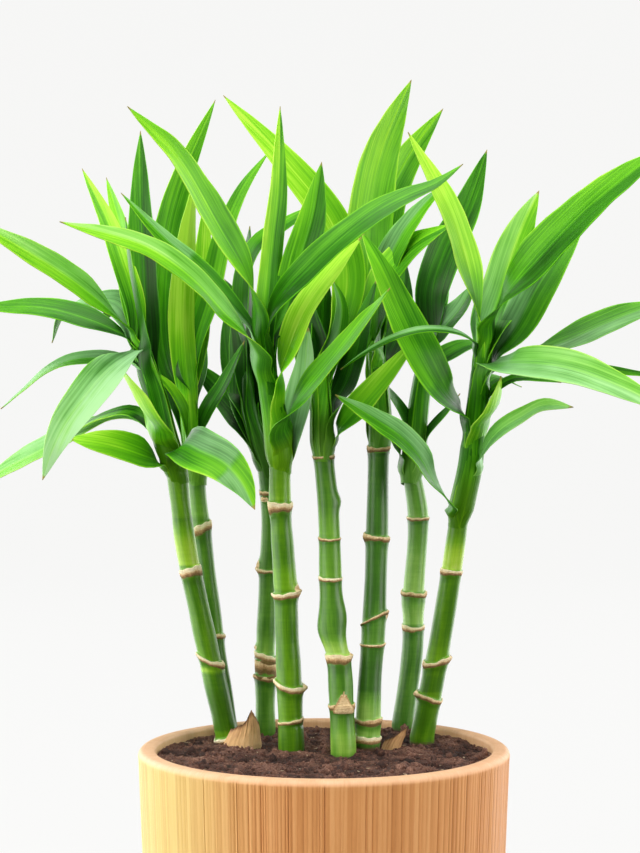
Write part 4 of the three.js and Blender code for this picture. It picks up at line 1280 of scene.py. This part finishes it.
def make_shoot(index, plant, material):
    points = [place(point) for point in plant["shoot"]]
    below = plant.get("below", STEM_BELOW)
    down = unit(points[0] - points[1])
    points.insert(0, points[0] + below * down)
    curve = Curve(points)
    heights = np.array([point[2] for point in points])
    thick = plant["radii"][1]
    radii = np.concatenate([[thick - 0.5], np.linspace(thick, thick * STEM_TAPER, len(points) - 1)])
    darker = plant.get("darker", 0)
    stem = {"curve": curve, "heights": heights, "radii": radii, "below": below, "cool": plant["cool"],
            "light": STEM_LIGHT - darker, "tone": STEM_TONE - darker}
    skin = Skin("blade", "look", "part", "foot")

    levels = np.linspace(heights[0], heights[-1], STEM_ROWS)[:, None]
    angles = full_turn(STEM_COLUMNS)
    radius = np.interp(levels, heights, radii) * lerp(0.4, 1, smoothstep(heights[-1] - levels, 0, 4))
    in_foot = 1 - smoothstep(levels - heights[1], *FOOT_FADE)
    skin.add(
        round_line(curve.at_height(levels), radius, angles, levels), tube_faces(STEM_ROWS, STEM_COLUMNS),
        blade=(angles * radius, levels, index), look=(stem["tone"], 0.05, 0), part=(0, 0.5, 0),
        foot=(np.repeat(in_foot, STEM_COLUMNS), stem["light"], stem["cool"]),
    )

    order = sorted(range(len(plant["leaves"])), key=lambda number: -plant["leaves"][number][0])
    for number, leaf in enumerate(plant["leaves"]):
        stagger = (number % 5) * LEAF_STAGGER
        layer = min(order.index(number), SHEATH_MOST_LAYERS)
        add_leaf(skin, stem, leaf, stagger, layer, index * 37 + number)
    return skin.build(f"shoot_{index}_leaves", material, sharp_angle=60)


# Husks

def make_husk(index, husk, material):
    """A curled flap with a torn, slanting top edge, as a thin shell with an inner and an outer face."""
    curve = Curve([place(point) for point in husk["axis"]])
    keys = np.array([place(point)[2] for point in husk["axis"]])
    share = np.linspace(0, 1, HUSK_ROWS)[:, None]
    turn = np.linspace(-1, 1, HUSK_COLUMNS)
    angles = math.radians(husk["faces"]) + turn * math.radians(husk["covers"])
    off = turn_from(angles, math.radians(husk["faces"] + husk["lean"]))
    torn = wander(turn, HUSK_TEARS)
    tops = np.clip(1 - husk["falls"] * np.abs(off / math.pi) ** 0.8 + torn, 0.2, 1)
    heights = keys[0] + (keys[-1] - keys[0]) * share * tops
    radius = np.interp(heights, keys, husk["radii"])
    fibres = wander(angles, HUSK_FIBRES)
    radius = radius + fibres * (0.5 + share) + 0.5 * share**3 * np.sin(angles * 2 + 1)
    centre = curve.at_height(heights)
    skin = Skin("bark", "look")
    edge = np.maximum(smoothstep(share, 0.86, 1.0), smoothstep(np.abs(turn), 0.94, 1.0))
    layers = []
    for inset in (HUSK_THICK, 0):
        layers.append(round_line(centre, radius - inset * (1 - 0.6 * edge), angles, heights))
    look = on_both(husk["brown"] + 0.35 * share, edge, 0)
    look[:len(look) // 2, 0] += 0.3
    skin.add(np.vstack(layers), sheet_faces(HUSK_ROWS, HUSK_COLUMNS), look=look,
             bark=on_both(angles * 5, heights * 0.12, index))
    return skin.build(f"dry_husk_{index}_fibres", material, sharp_angle=60)


# The pieces, each in the place of its CAD node

def dress(piece, node):
    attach(piece, "root")
    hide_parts(node)


cane_look, leaf_look, husk_look = cane_material(), leaf_material(), husk_material()
dress(make_pot(pot_material()), "pot")
dress(make_soil(soil_material()), "soil")
for number, plant in enumerate(PLANTS, start=1):
    dress(make_cane(number, plant, cane_look), f"cane_{number}")
    dress(make_shoot(number, plant, leaf_look), f"shoot_{number}")
for number, husk in enumerate(HUSKS, start=1):
    dress(make_husk(number, husk, husk_look), f"dry_husk_{number}")


# Studio

def make_floor():
    """A pale floor that curves up all round, so that no edge of it shows."""
    profile = [(1, 0), (600, 0), (1200, 0), (FLOOR_REACH, 0)]
    for angle in np.radians(range(5, 91, 5)):
        profile.append((FLOOR_REACH + FLOOR_BEND * math.sin(angle), FLOOR_BEND * (1 - math.cos(angle))))
    profile.append((FLOOR_REACH + FLOOR_BEND, FLOOR_TOP))
    radii, heights = np.array(profile).T[..., None]
    angles = full_turn(FLOOR_COLUMNS)
    skin = Skin()
    skin.add(rows(radii * np.cos(angles), radii * np.sin(angles), heights),
             tube_faces(len(profile), FLOOR_COLUMNS, closed_ends=False))
    floor = skin.build("floor", Shader("floor").finish(
        Base_Color=(0.03, 0.03, 0.03, 1), Roughness=0.9, Specular_IOR_Level=0.0,
        Emission_Color=(1.0, 1.0, 0.99, 1), Emission_Strength=0.91))
    floor.visible_shadow = False
    floor.visible_glossy = False
    floor.visible_diffuse = False


def add_light(name, spot, aim_height, width, height, power, colour):
    data = bpy.data.lights.new(name, "AREA")
    data.shape = "RECTANGLE"
    data.size = width
    data.size_y = height
    data.energy = power
    data.color = colour
    lamp = add_object(name, data)
    lamp.location = spot
    lamp.rotation_euler = (Vector((0, 0, aim_height)) - Vector(spot)).to_track_quat("-Z", "Y").to_euler()
    lamp.visible_camera = False


def make_world(colour, strength):
    world = bpy.data.worlds.new("studio")
    world.use_nodes = True
    sky = world.node_tree.nodes["Background"]
    sky.inputs["Color"].default_value = colour
    sky.inputs["Strength"].default_value = strength
    bpy.context.scene.world = world


def make_camera():
    data = bpy.data.cameras.new("camera")
    data.lens = LENS
    data.sensor_width = SENSOR
    camera = add_object("camera", data)
    camera.location = (EYE_ACROSS * MM, -EYE_DISTANCE * MM, EYE_HEIGHT * MM)
    aim = Vector((EYE_ACROSS * MM, 0, LOOK_HEIGHT * MM))
    camera.rotation_euler = (aim - camera.location).to_track_quat("-Z", "Y").to_euler()
    bpy.context.scene.camera = camera


make_floor()
make_world((1.0, 1.0, 1.0, 1), SKY_STRENGTH)
for light in LIGHTS:
    add_light(*light)
make_camera()
bpy.context.scene.view_settings.view_transform = "Standard"
